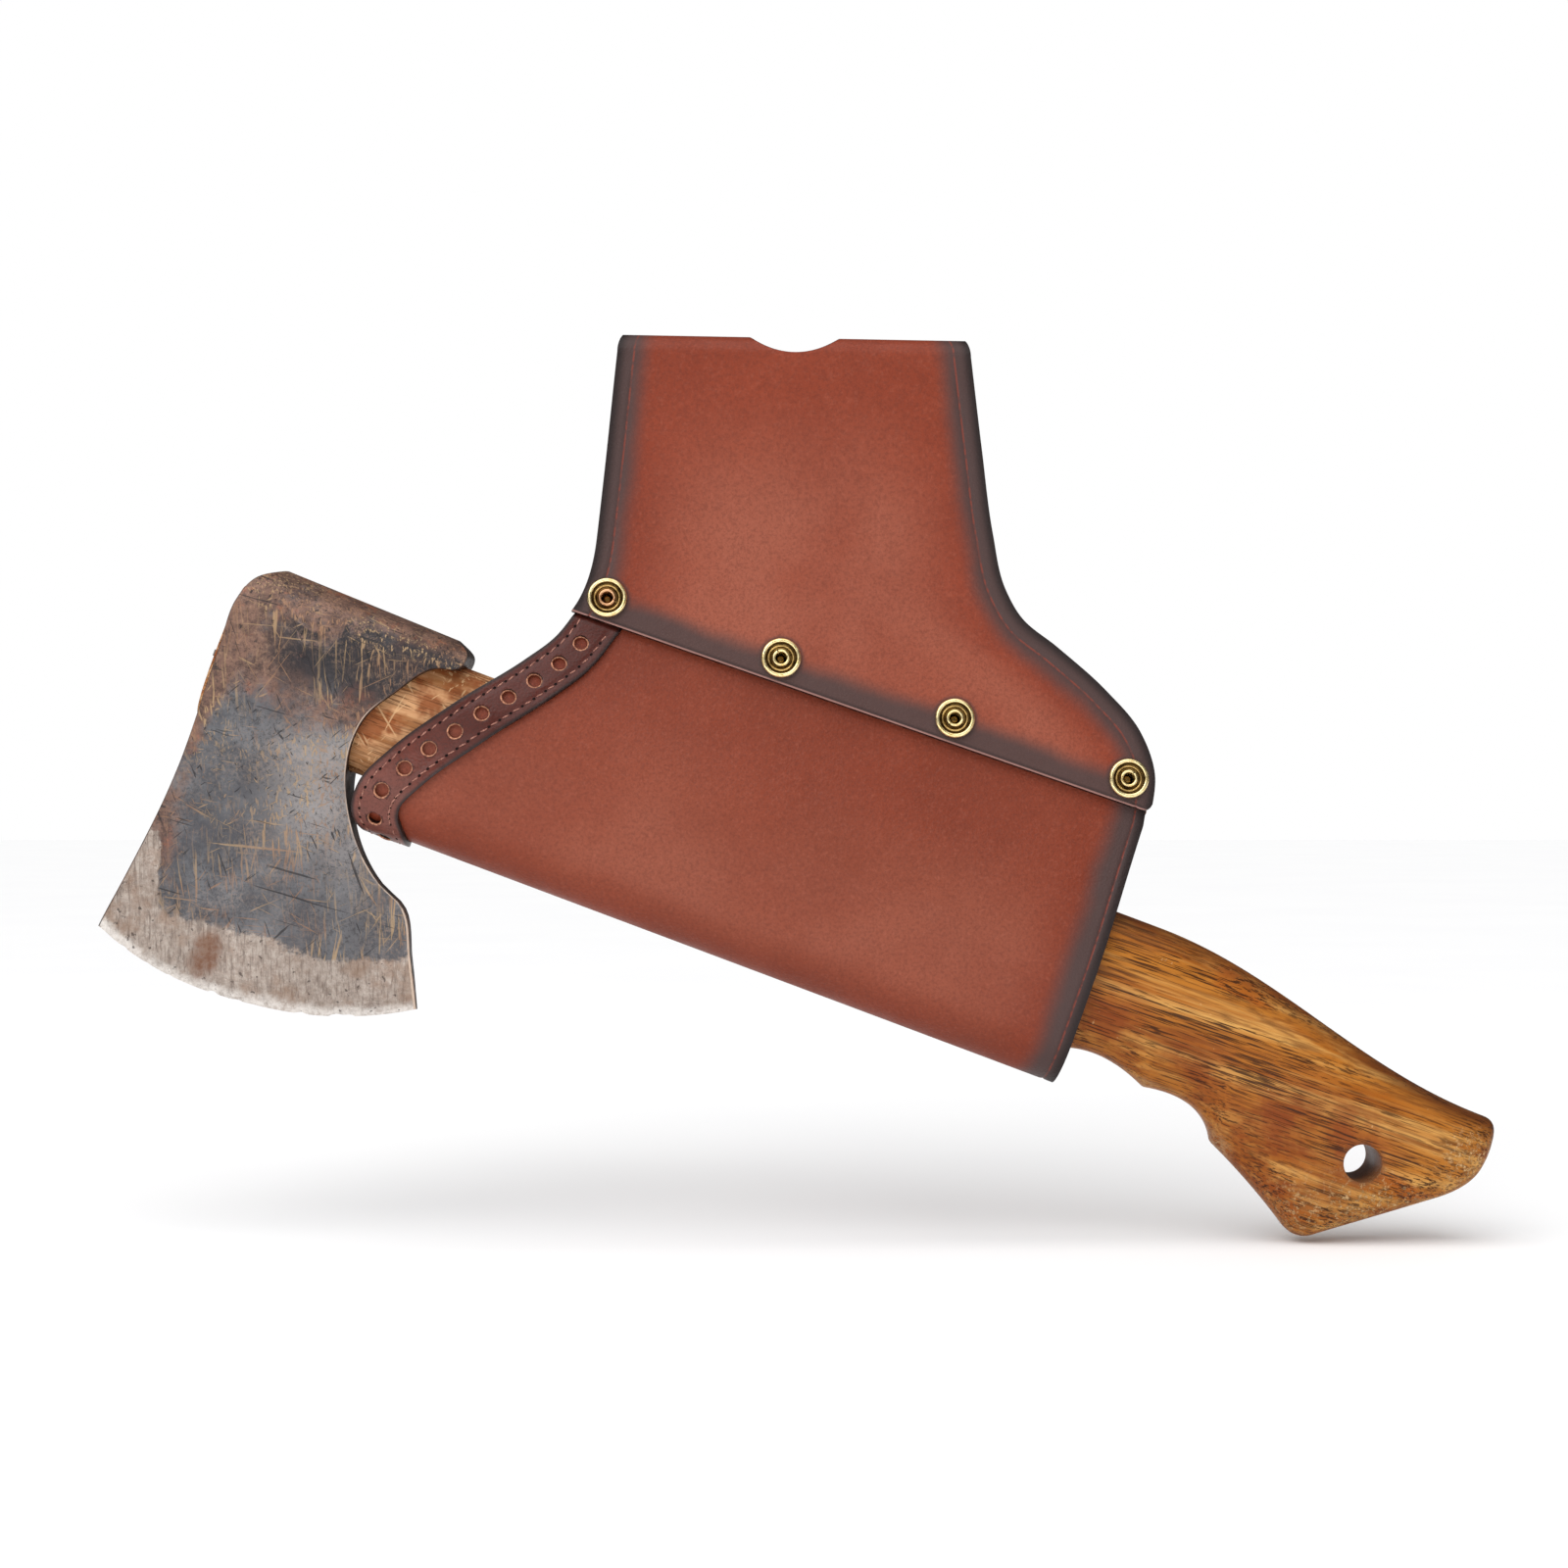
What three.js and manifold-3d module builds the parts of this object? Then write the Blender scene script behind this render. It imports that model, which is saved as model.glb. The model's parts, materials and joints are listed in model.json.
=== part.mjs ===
// A short axe carried in a leather belt carrier. Millimetres, +Z up, +X the way the butt points, +Y towards the body.
// The origin is the middle of the belt channel's ceiling, where the belt's top edge bears.
// The sleeve and the axe are drawn in a frame of their own, turned about Y: along is the run of the haft towards the
// butt, down is the way the cutting edge points, and depth is +Y. Down is that frame's -Z. Its zero is on the outside
// of the top fold, level with the back panel's inner face.
import * as THREE from "three";
import { mergeVertices } from "three/addons/utils/BufferGeometryUtils.js";
import Module from "manifold-3d";

const wasm = await Module();
wasm.setup();

// ---- driving dimensions ------------------------------------------------------------------------------------------

const CLEARANCE = 0.3; // between any two touching pieces
const SLEEVE_TILT = THREE.MathUtils.degToRad(20.55); // the haft's fall below the belt line

const LEATHER = 2.8; // thickness of the carrier's hide
const STRAP_THICKNESS = 1.6;
const STRAP_WIDTH = 14.7;
const STRAP_HOLE_RADIUS = 2.5;
const STRAP_HOLE_PITCH = 9.4;
const STRAP_HOLES = 10;

const BELT_GAP = 6.2; // clear depth of the belt channel
const LOOP_HALF_WIDTH = 54; // half the width of the top fold
const LOOP_CORNER = 5; // rounding of the top fold's ends
const FLAP_HINGE_DROP = 24; // from the top fold down to the line the flap bends about
const NOTCH_HALF_WIDTH = 12.75;
const NOTCH_DEPTH = 4.2;
const FLAP_CORNER_LEFT = new THREE.Vector2(-68.4, -83.6);
const FLAP_CORNER_RIGHT = new THREE.Vector2(108.6, -145.4);

const HAFT_THICKNESS = 23;
const HAFT_MIDDLE_DEPTH = -7.2; // where the haft's middle plane lies
const SLEEVE_ROOM = 0.9; // between the haft's sides and the leather
const FOLD_CENTRE = 170.7; // how far down the sleeve's bottom fold is centred
const WRAP_TOP = 78; // how far down the wrap's tucked-in top edge lies
const WRAP_HINGE = 170; // how far down the line the wrap bends about lies
const LAP_INNER = -3.2; // depth of the wrap's hidden face at its top edge
const LAP_SLOPE = 0.139; // forward lean of the snapped lap
const LAP_BEND = THREE.MathUtils.degToRad(62); // how far the leather turns out of the lap into the swell
const LAP_TUCK = 1.47; // how far the swell's outer corner hides above the flap's lowest edge
const LAP_GAP = 0.5; // between the wrap and the flap
const MOUTH_RIGHT = 153.4; // the sleeve's mouth on the butt side

const SNAP_COUNT = 4;
const SNAP_PITCH = 56.13;
const SNAP_FIRST_ALONG = -25.9;
const SNAP_FIRST_DOWN = 94.9;
const SNAP_DOWN_STEP = -1.42;
const SNAP_RADIUS = 6.1;
const SNAP_BORE = 1.8;

const HAFT_TOP = 129.9;
const HAFT_START = -131.5;
const HAFT_BELLY = 175.1;
const KNOB_END = 285.6;
const LANYARD_RADIUS = 5.8;
const LANYARD_ALONG = 248.9;
const LANYARD_DOWN = 175.2;
const WEDGE_LENGTH = 42;
const WEDGE_THICKNESS = 3.4;
const STEEL_WEDGE_LENGTH = 24;
const STEEL_WEDGE_WIDTH = 13;
const STEEL_WEDGE_THICKNESS = 2.6;

const EYE_HALF_THICKNESS = 15.2;
const EDGE_HALF_THICKNESS = 0.25;
const EDGE_BELLY = 11.5; // how far the cutting edge bows beyond the line from toe to heel

// ---- values worked out from them ---------------------------------------------------------------------------------

const FOLD_RADIUS = HAFT_THICKNESS / 2 + SLEEVE_ROOM;
const SLEEVE_FRONT = HAFT_MIDDLE_DEPTH - FOLD_RADIUS;
const SLEEVE_BACK = HAFT_MIDDLE_DEPTH + FOLD_RADIUS;
const LAP_ANGLE = Math.atan(LAP_SLOPE);
const LAP_LEATHER = LEATHER / Math.cos(LAP_ANGLE);
const FLAP_LOWEST = -FLAP_CORNER_LEFT.x * Math.sin(SLEEVE_TILT) - FLAP_CORNER_LEFT.y * Math.cos(SLEEVE_TILT);
const LAP_END = FLAP_LOWEST - LAP_TUCK + LEATHER * Math.tan(LAP_BEND / 2); // how far down the lap ends

const lapDepth = (down, behind) => LAP_INNER - (down - WRAP_TOP) * LAP_SLOPE - behind;

const SWELL = lapDepth(LAP_END, 0) - SLEEVE_FRONT; // how far the wrap swells forward below the lap
const SWELL_END = LAP_END + SWELL * 1.42; // how far down the sleeve reaches its full depth

// ---- materials ---------------------------------------------------------------------------------------------------

const finish = (color, roughness, metalness) => new THREE.MeshStandardMaterial({ color, roughness, metalness });
const hide = finish(0x8a4a34, 0.5, 0);
const darkHide = finish(0x4a2a22, 0.55, 0);
const brass = finish(0xd9bf7c, 0.3, 1);
const wood = finish(0xa8713a, 0.6, 0);
const paleWood = finish(0xc59a63, 0.7, 0);
const steel = finish(0x3c3b40, 0.5, 0.9);
const bareSteel = finish(0x9a938c, 0.35, 1);

// ---- tools -------------------------------------------------------------------------------------------------------

/** A closed geometry as a solid. */
function solid(geometry) {
  const bare = new THREE.BufferGeometry().setAttribute("position", geometry.getAttribute("position"));
  if (geometry.index) bare.setIndex(geometry.index);
  const merged = mergeVertices(bare, 1e-4);
  return new wasm.Manifold(
    new wasm.Mesh({
      numProp: 3,
      vertProperties: merged.getAttribute("position").array,
      triVerts: new Uint32Array(merged.index.array),
    }),
  );
}

/** A solid as a named mesh. */
function piece(name, body, material) {
  const raw = body.getMesh();
  const geometry = new THREE.BufferGeometry()
    .setAttribute("position", new THREE.BufferAttribute(raw.vertProperties, raw.numProp))
    .setIndex(new THREE.BufferAttribute(raw.triVerts, 1));
  geometry.computeVertexNormals();
  const mesh = new THREE.Mesh(geometry, material);
  mesh.name = name;
  return mesh;
}

const extruded = (shape, from, to) =>
  new THREE.ExtrudeGeometry(shape, { depth: to - from, bevelEnabled: false, curveSegments: 8 }).translate(0, 0, from);

/** An outline of (along, down) made a prism through the depth. */
const plate = (shape, from = -60, to = 60) => solid(extruded(shape, from, to).rotateX(-Math.PI / 2));

/** A cross-section of (down, depth) run along the haft. */
const run = (shape, from, to) => solid(extruded(shape, from, to).rotateY(Math.PI / 2));

/** An outline of upright (x, z) made a prism through the depth, in the sleeve's frame. */
const uprightPlate = (shape) =>
  solid(extruded(shape, -60, 60).rotateX(Math.PI / 2).rotateY(-SLEEVE_TILT));

/** How far a point is from a line of points. */
function distanceTo(points, point) {
  const spot = new THREE.Vector3(point.x, point.y, 0);
  const onLine = new THREE.Vector3();
  const gaps = points.slice(1).map((end, i) => {
    const stretch = new THREE.Line3(
      new THREE.Vector3(points[i].x, points[i].y, 0),
      new THREE.Vector3(end.x, end.y, 0),
    );
    return stretch.closestPointToPoint(spot, true, onLine).distanceTo(spot);
  });
  return Math.min(...gaps);
}

/** A line of points moved sideways by a distance, without the loops that tight bends would make. */
function offset(points, distance) {
  const moved = points.map((point, i) => {
    const before = points[Math.max(i - 1, 0)];
    const after = points[Math.min(i + 1, points.length - 1)];
    const way = after.clone().sub(before).normalize();
    return new THREE.Vector2(point.x + way.y * distance, point.y - way.x * distance);
  });
  return moved.filter((point) => distanceTo(points, point) > Math.abs(distance) * 0.97 - 1e-6);
}

/** The area between two offsets of one line. */
const strip = (points, near, far) => new THREE.Shape([...offset(points, near), ...offset(points, far).reverse()]);

/** The value that a line of points has at a place, read along one of its coordinates. */
function readAlong(points, by, value) {
  return (place) => {
    const last = points.length - 1;
    let i = 0;
    while (i < last - 1 && points[i + 1][by] < place) i += 1;
    const share = (place - points[i][by]) / (points[i + 1][by] - points[i][by]);
    return THREE.MathUtils.lerp(points[i][value], points[i + 1][value], THREE.MathUtils.clamp(share, 0, 1));
  };
}

/** A skin over loops of equal count, closed at both ends. */
function loft(loops) {
  const count = loops[0].length;
  const position = loops.flat().flatMap((p) => [p.x, p.y, p.z]);
  const index = [];
  for (let row = 0; row + 1 < loops.length; row += 1) {
    for (let i = 0; i < count; i += 1) {
      const next = (i + 1) % count;
      const a = row * count + i;
      const b = row * count + next;
      index.push(a, b, b + count, a, b + count, a + count);
    }
  }
  for (const [row, flip] of [[0, true], [loops.length - 1, false]]) {
    for (let i = 1; i + 1 < count; i += 1) {
      const fan = [row * count, row * count + i, row * count + i + 1];
      index.push(...(flip ? fan.reverse() : fan));
    }
  }
  const geometry = new THREE.BufferGeometry()
    .setAttribute("position", new THREE.Float32BufferAttribute(position, 3))
    .setIndex(index);
  const made = solid(geometry);
  if (made.volume() > 0) return made;
  geometry.setIndex(index.reverse());
  return solid(geometry);
}

// ---- leather: lines shared by the panels -------------------------------------------------------------------------

/** The sleeve's inside from the wrap's top edge down its front to the bending line, as (down, depth). */
function wrapLine(end) {
  return new THREE.Path()
    .moveTo(WRAP_TOP, lapDepth(WRAP_TOP, 0))
    .lineTo(LAP_END, lapDepth(LAP_END, 0))
    .bezierCurveTo(
      LAP_END + SWELL * 0.35, lapDepth(LAP_END + SWELL * 0.45, 0),
      LAP_END + SWELL * 0.16, SLEEVE_FRONT,
      SWELL_END, SLEEVE_FRONT,
    )
    .lineTo(end, SLEEVE_FRONT)
    .getPoints(12);
}

/** The sleeve's inside from the bending line round the fold and up the back panel, as (down, depth). */
function panelLine(start, top) {
  return new THREE.Path()
    .moveTo(start, SLEEVE_FRONT)
    .lineTo(FOLD_CENTRE, SLEEVE_FRONT)
    .absarc(FOLD_CENTRE, HAFT_MIDDLE_DEPTH, FOLD_RADIUS, -Math.PI / 2, Math.PI / 2, false)
    .lineTo(SWELL_END, SLEEVE_BACK)
    .bezierCurveTo(LAP_END + 8, SLEEVE_BACK, LAP_END + 9, 0, LAP_END - 4, 0)
    .lineTo(top, 0)
    .getPoints(14);
}

/** The flap's hidden face, as (down, depth). */
function flapLine() {
  const hidden = LAP_LEATHER + LAP_GAP;
  return new THREE.Path()
    .moveTo(-60, -BELT_GAP)
    .lineTo(46, -BELT_GAP)
    .bezierCurveTo(62, -BELT_GAP, 72, lapDepth(72, hidden), WRAP_TOP + 4, lapDepth(WRAP_TOP + 4, hidden))
    .lineTo(LAP_END + 6, lapDepth(LAP_END + 6, hidden))
    .getPoints(8);
}

/** The mouth edge on the head's side, as (along, down). */
const mouthLine = new THREE.SplineCurve([
  new THREE.Vector2(-33.8, LAP_END + 0.5),
  new THREE.Vector2(-36.4, 111.7),
  new THREE.Vector2(-42.4, 121.7),
  new THREE.Vector2(-57.2, 141.4),
  new THREE.Vector2(-69.2, 160.7),
  new THREE.Vector2(-73.8, 173),
  new THREE.Vector2(-73.6, 181),
  new THREE.Vector2(-69.5, 190),
]).getPoints(24);

/** The belt part's outline below a height, as upright (x, z). */
function beltOutline(top) {
  const corner = top === 0 ? LOOP_CORNER : 0;
  const side = (z) => LOOP_HALF_WIDTH - 0.113 * z;
  return new THREE.Shape()
    .moveTo(-side(top) + corner, top)
    .quadraticCurveTo(-side(top), top, -side(top) - 0.4, top - corner)
    .lineTo(-side(-62), -62)
    .quadraticCurveTo(-side(-76), -76, FLAP_CORNER_LEFT.x, FLAP_CORNER_LEFT.y)
    .lineTo(FLAP_CORNER_RIGHT.x - 2.5, FLAP_CORNER_RIGHT.y + 0.87)
    .quadraticCurveTo(FLAP_CORNER_RIGHT.x - 0.6, FLAP_CORNER_RIGHT.y, FLAP_CORNER_RIGHT.x + 0.3, FLAP_CORNER_RIGHT.y + 3)
    .splineThru([
      new THREE.Vector2(109.8, -133.5),
      new THREE.Vector2(105.5, -120.5),
      new THREE.Vector2(95, -107.8),
      new THREE.Vector2(80.2, -94.6),
      new THREE.Vector2(69, -85.3),
      new THREE.Vector2(64.1, -76.5),
      new THREE.Vector2(60.6, -62),
    ])
    .lineTo(side(top) - 1, top - corner)
    .quadraticCurveTo(side(top) - 1, top, side(top) - 1 - corner, top);
}

/** The sleeve's outline, the same in front and behind, as (along, down). */
function sleeveOutline() {
  return new THREE.Shape([
    new THREE.Vector2(-32.6, WRAP_TOP),
    ...mouthLine,
    new THREE.Vector2(MOUTH_RIGHT + 0.2, 190),
    new THREE.Vector2(MOUTH_RIGHT - 1.4, LAP_END),
    new THREE.Vector2(MOUTH_RIGHT - 3.9, 88),
    new THREE.Vector2(MOUTH_RIGHT - 8, 82),
    new THREE.Vector2(MOUTH_RIGHT - 13.4, WRAP_TOP),
  ]);
}

/** The mouth strap's outline, as (along, down). */
const strapOutline = () => new THREE.Shape([...mouthLine, ...offset(mouthLine, STRAP_WIDTH).reverse()]);

// ---- snap fasteners ----------------------------------------------------------------------------------------------

/** Where a snap stands on the flap's face, in the sleeve's frame. */
function snapPlace(i) {
  const down = SNAP_FIRST_DOWN + SNAP_DOWN_STEP * i;
  const depth = lapDepth(down, 2 * LAP_LEATHER + LAP_GAP);
  return new THREE.Matrix4()
    .makeRotationX(Math.PI - LAP_ANGLE)
    .setPosition(SNAP_FIRST_ALONG + SNAP_PITCH * i, depth, -down);
}

/** A turned piece from its (radius, height) outline. */
const turned = (outline, sides = 14) => new THREE.LatheGeometry(outline.map(([r, h]) => new THREE.Vector2(r, h)), sides);

const WRAP_FACE = -(LEATHER + LAP_GAP); // height of the wrap's face below the flap's face, on a snap's axis
const FLANGE = 0.5;
const FLANGE_RADIUS = 4.2;
const POCKET = FLANGE + 0.25;
const POST_RADIUS = SNAP_BORE + 0.5;
const POST_HOLE = POST_RADIUS + CLEARANCE;
const STUD_HOLE = 1.9;

const snapRing = () => turned([
  [POST_HOLE, 0.3], [SNAP_RADIUS - 0.3, 0.3], [SNAP_RADIUS, 0.8], [SNAP_RADIUS - 0.1, 1.7], [SNAP_RADIUS - 0.6, 2.1],
  [SNAP_RADIUS - 1.1, 1.8], [SNAP_RADIUS - 1.4, 1], [4.3, 1], [4, 1.4], [3.6, 1], [POST_HOLE, 0.9], [POST_HOLE, 0.3],
], 20);

const snapPost = () => turned([
  [SNAP_BORE, -LEATHER + 0.05], [FLANGE_RADIUS, -LEATHER + 0.05], [FLANGE_RADIUS, -LEATHER + 0.05 + FLANGE],
  [POST_RADIUS, -LEATHER + 0.1 + FLANGE], [POST_RADIUS, 1.25], [POST_RADIUS + 0.45, 1.35], [POST_RADIUS + 0.5, 1.8],
  [POST_RADIUS, 2.05], [SNAP_BORE, 1.8], [SNAP_BORE, -LEATHER + 0.05],
]);

const snapStud = () => turned([
  [0, WRAP_FACE + 1.7], [0.8, WRAP_FACE + 1.6], [1.2, WRAP_FACE + 1.2], [1, WRAP_FACE + 0.6], [1.1, WRAP_FACE - 0.05],
  [FLANGE_RADIUS, WRAP_FACE - 0.05], [FLANGE_RADIUS, WRAP_FACE - 0.05 - FLANGE], [1.6, WRAP_FACE - 0.1 - FLANGE],
  [1.6, WRAP_FACE - LEATHER + 0.3], [1, WRAP_FACE - LEATHER + 0.3], [1, WRAP_FACE - 0.9], [0, WRAP_FACE - 0.9],
].reverse());

const studRivet = () => turned([
  [0, WRAP_FACE - LEATHER - 0.9], [3.4, WRAP_FACE - LEATHER - 0.8], [3.8, WRAP_FACE - LEATHER - CLEARANCE],
  [0.7, WRAP_FACE - LEATHER - CLEARANCE], [0.7, WRAP_FACE - 1.3], [0, WRAP_FACE - 1.3],
]);

/** Everything a snap takes out of the leather: the holes and the pockets its flanges sink into. */
function snapRoom(i) {
  const holes = [
    [POST_HOLE, -LEATHER - 0.2, 0.2],
    [FLANGE_RADIUS + CLEARANCE, -LEATHER - 0.2, -LEATHER + POCKET + 0.05],
    [STUD_HOLE, WRAP_FACE - LEATHER - 0.2, WRAP_FACE + 0.2],
    [FLANGE_RADIUS + CLEARANCE, WRAP_FACE - POCKET - 0.1, WRAP_FACE + 0.2],
  ];
  return holes
    .map(([radius, from, to]) =>
      solid(new THREE.CylinderGeometry(radius, radius, to - from, 14).translate(0, (from + to) / 2, 0)
        .applyMatrix4(snapPlace(i))))
    .reduce((all, hole) => all.add(hole));
}

const snapNumbers = Array.from({ length: SNAP_COUNT }, (_, i) => i);
const allSnapRoom = snapNumbers.map(snapRoom).reduce((all, room) => all.add(room));

// ---- leather pieces ----------------------------------------------------------------------------------------------

const ALONG_FROM = -140;
const ALONG_TO = 200;

/** The fold over the belt: up the back, over the top and down the front to the flap's bending line. */
function topFold() {
  const radius = BELT_GAP / 2;
  const middle = -BELT_GAP / 2;
  const line = new THREE.Path()
    .moveTo(0, -20)
    .lineTo(0, -LEATHER - radius)
    .absarc(middle, -LEATHER - radius, radius, 0, Math.PI, false)
    .lineTo(-BELT_GAP, -FLAP_HINGE_DROP + CLEARANCE / 2)
    .getPoints(10);
  const section = strip(line, 0, LEATHER);
  const bar = extruded(section, -80, 80);
  bar.applyMatrix4(new THREE.Matrix4().set(0, 0, 1, 0, 1, 0, 0, 0, 0, 1, 0, 0, 0, 0, 0, 1));
  return solid(bar.rotateY(-SLEEVE_TILT)).intersect(uprightPlate(beltOutline(0)));
}

/** The half-round notch in the top fold. */
function notch() {
  const radius = (NOTCH_HALF_WIDTH ** 2 + NOTCH_DEPTH ** 2) / (2 * NOTCH_DEPTH);
  return solid(new THREE.CylinderGeometry(radius, radius, 60, 64)
    .translate(0, 0, radius - NOTCH_DEPTH).rotateY(-SLEEVE_TILT));
}

function backPanel() {
  const outline = uprightPlate(beltOutline(-9)).add(plate(sleeveOutline()));
  const line = panelLine(WRAP_HINGE + CLEARANCE / 2, -60);
  const sheet = run(strip(line, 0, LEATHER), ALONG_FROM, ALONG_TO);
  return sheet.intersect(outline).add(topFold()).subtract(notch());
}

function beltFlap() {
  const outline = uprightPlate(beltOutline(-FLAP_HINGE_DROP - CLEARANCE / 2));
  return run(strip(flapLine(), 0, LEATHER), ALONG_FROM, ALONG_TO).intersect(outline).subtract(allSnapRoom);
}

function frontWrap() {
  const line = wrapLine(WRAP_HINGE - CLEARANCE / 2);
  return run(strip(line, 0, LEATHER), ALONG_FROM, ALONG_TO).intersect(plate(sleeveOutline())).subtract(allSnapRoom);
}

/** Punches for the strap's holes: each stands square to the leather, at even steps round the mouth. */
function strapPunches(line, steps) {
  const across = readAlong(offset(mouthLine, STRAP_WIDTH / 2), "y", "x");
  const travelled = [0];
  for (let i = 1; i < line.length; i += 1) {
    const along = across(line[i].x) - across(line[i - 1].x);
    travelled.push(travelled[i - 1] + Math.hypot(line[i].distanceTo(line[i - 1]), along));
  }
  return steps
    .map((step) => {
      let i = 1;
      while (i < line.length - 1 && travelled[i] < step) i += 1;
      const share = (step - travelled[i - 1]) / (travelled[i] - travelled[i - 1]);
      const at = line[i - 1].clone().lerp(line[i], share);
      const way = line[i].clone().sub(line[i - 1]);
      const lean = Math.atan2(way.y, way.x);
      return solid(new THREE.CylinderGeometry(STRAP_HOLE_RADIUS, STRAP_HOLE_RADIUS, 12, 12)
        .translate(0, -LEATHER - 3, 0).rotateX(-lean).translate(across(at.x), at.y, -at.x));
    })
    .reduce((all, punch) => all.add(punch));
}

const STRAP_NEAR = LEATHER + CLEARANCE;
const STRAP_FAR = STRAP_NEAR + STRAP_THICKNESS;

/** The inside line from the lap's end all the way round to the back, that the strap's holes are counted along. */
const strapLine = [
  ...wrapLine(WRAP_HINGE).filter((p) => p.x > LAP_END),
  ...panelLine(WRAP_HINGE, LAP_END - 12).slice(1),
];

function mouthStrapFront() {
  const line = wrapLine(WRAP_HINGE - CLEARANCE / 2).filter((p) => p.x > LAP_END - 1);
  const steps = Array.from({ length: STRAP_HOLES - 2 }, (_, i) => 11 + STRAP_HOLE_PITCH * i);
  return run(strip(line, STRAP_NEAR, STRAP_FAR), ALONG_FROM, ALONG_TO)
    .intersect(plate(strapOutline()))
    .subtract(strapPunches(strapLine, steps));
}

function mouthStrapBack() {
  const line = panelLine(WRAP_HINGE + CLEARANCE / 2, LAP_END - 12);
  const steps = Array.from({ length: STRAP_HOLES }, (_, i) => 11 + STRAP_HOLE_PITCH * (i + STRAP_HOLES - 2));
  return run(strip(line, STRAP_NEAR, STRAP_FAR), ALONG_FROM, ALONG_TO)
    .intersect(plate(strapOutline()))
    .subtract(strapPunches(strapLine, steps));
}

// ---- haft --------------------------------------------------------------------------------------------------------

const topEdge = readAlong(
  new THREE.Path()
    .moveTo(HAFT_START, HAFT_TOP)
    .lineTo(168, HAFT_TOP)
    .bezierCurveTo(208, HAFT_TOP, 240, HAFT_TOP + 19.2, KNOB_END - 4, HAFT_TOP + 19.2)
    .quadraticCurveTo(KNOB_END, HAFT_TOP + 19.4, KNOB_END, HAFT_TOP + 25)
    .getPoints(16),
  "x", "y",
);

const bellyEdge = readAlong(
  new THREE.Path()
    .moveTo(HAFT_START, HAFT_BELLY - 3)
    .lineTo(-60, HAFT_BELLY - 3)
    .lineTo(60, HAFT_BELLY)
    .lineTo(152, HAFT_BELLY)
    .quadraticCurveTo(164, HAFT_BELLY - 5, 179.9, HAFT_BELLY + 2.3)
    .quadraticCurveTo(199, HAFT_BELLY - 1.4, 205.4, HAFT_BELLY + 11)
    .lineTo(235, HAFT_BELLY + 27)
    .quadraticCurveTo(240.5, HAFT_BELLY + 30, 245, HAFT_BELLY + 26)
    .lineTo(276, HAFT_BELLY + 2.4)
    .quadraticCurveTo(KNOB_END + 0.5, HAFT_BELLY - 5.5, KNOB_END, HAFT_BELLY - 13)
    .getPoints(10),
  "x", "y",
);

const halfThickness = readAlong(
  [[HAFT_START, 0.86], [-95, 0.88], [-70, 0.97], [0, 0.94], [120, 0.92], [200, 0.97], [240, 1], [272, 0.97],
    [280, 0.8], [284, 0.58], [KNOB_END, 0.4]].map(([x, y]) => new THREE.Vector2(x, (y * HAFT_THICKNESS) / 2)),
  "x", "y",
);

/** One cross-section of the haft, a rounded oval, grown all round by a margin. */
function haftLoop(along, margin) {
  const top = topEdge(along) - margin;
  const belly = bellyEdge(along) + margin;
  const half = halfThickness(along) + margin;
  const sides = 22;
  const squareness = 2 / 2.5;
  return Array.from({ length: sides }, (_, i) => {
    const turn = ((i + 0.5) / sides) * 2 * Math.PI;
    const across = Math.sign(Math.cos(turn)) * Math.abs(Math.cos(turn)) ** squareness;
    const up = Math.sign(Math.sin(turn)) * Math.abs(Math.sin(turn)) ** squareness;
    const down = (top + belly) / 2 - (up * (belly - top)) / 2;
    return new THREE.Vector3(along, HAFT_MIDDLE_DEPTH + across * half, -down);
  });
}

const haftStations = [
  HAFT_START, -100, -82, -70, -50, 0, 60, 110, 140, 152, 157, 162, 167, 172, 177, 179.9, 183, 188, 192, 196, 199, 202,
  204, 205.4, 212, 222, 230, 235, 238, 241, 245, 252, 260, 268, 274, 278, 281, 283.4, 284.8, KNOB_END,
];

/** The kerf in the haft's end, or the wedge that fills it, thinner by a margin all round. */
function wedgeBody(margin) {
  const half = WEDGE_THICKNESS / 2 - margin;
  const tip = HAFT_START + WEDGE_LENGTH - margin * 3;
  const shape = new THREE.Shape()
    .moveTo(HAFT_START - 5, -half)
    .lineTo(tip, -0.25)
    .lineTo(tip, 0.25)
    .lineTo(HAFT_START - 5, half);
  const depth = 80;
  return solid(extruded(shape, -depth, depth).translate(0, HAFT_MIDDLE_DEPTH, -(HAFT_TOP + HAFT_BELLY) / 2));
}

/** The pocket of the steel cross wedge, or the wedge itself, smaller by a margin. */
function steelWedgeBody(margin) {
  const half = STEEL_WEDGE_THICKNESS / 2 - margin;
  const shape = new THREE.Shape()
    .moveTo(HAFT_START - 1 + margin, -half)
    .lineTo(HAFT_START + STEEL_WEDGE_LENGTH - margin, -half / 3)
    .lineTo(HAFT_START + STEEL_WEDGE_LENGTH - margin, half / 3)
    .lineTo(HAFT_START - 1 + margin, half);
  const across = STEEL_WEDGE_WIDTH / 2 - margin;
  return solid(
    extruded(shape, -across, across).rotateX(-Math.PI / 2).translate(0, HAFT_MIDDLE_DEPTH, -(HAFT_TOP + HAFT_BELLY) / 2),
  );
}

function haft() {
  const body = loft(haftStations.map((along) => haftLoop(along, 0)));
  const hole = solid(
    new THREE.CylinderGeometry(LANYARD_RADIUS, LANYARD_RADIUS, 60, 28)
      .translate(LANYARD_ALONG, HAFT_MIDDLE_DEPTH, -LANYARD_DOWN),
  );
  return body.subtract(hole).subtract(wedgeBody(0)).subtract(steelWedgeBody(0));
}

function eyeWedge() {
  const eye = loft([HAFT_START, -100, -82].map((along) => haftLoop(along, -CLEARANCE)));
  return wedgeBody(CLEARANCE).intersect(eye).subtract(steelWedgeBody(0));
}

// ---- head --------------------------------------------------------------------------------------------------------

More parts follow.
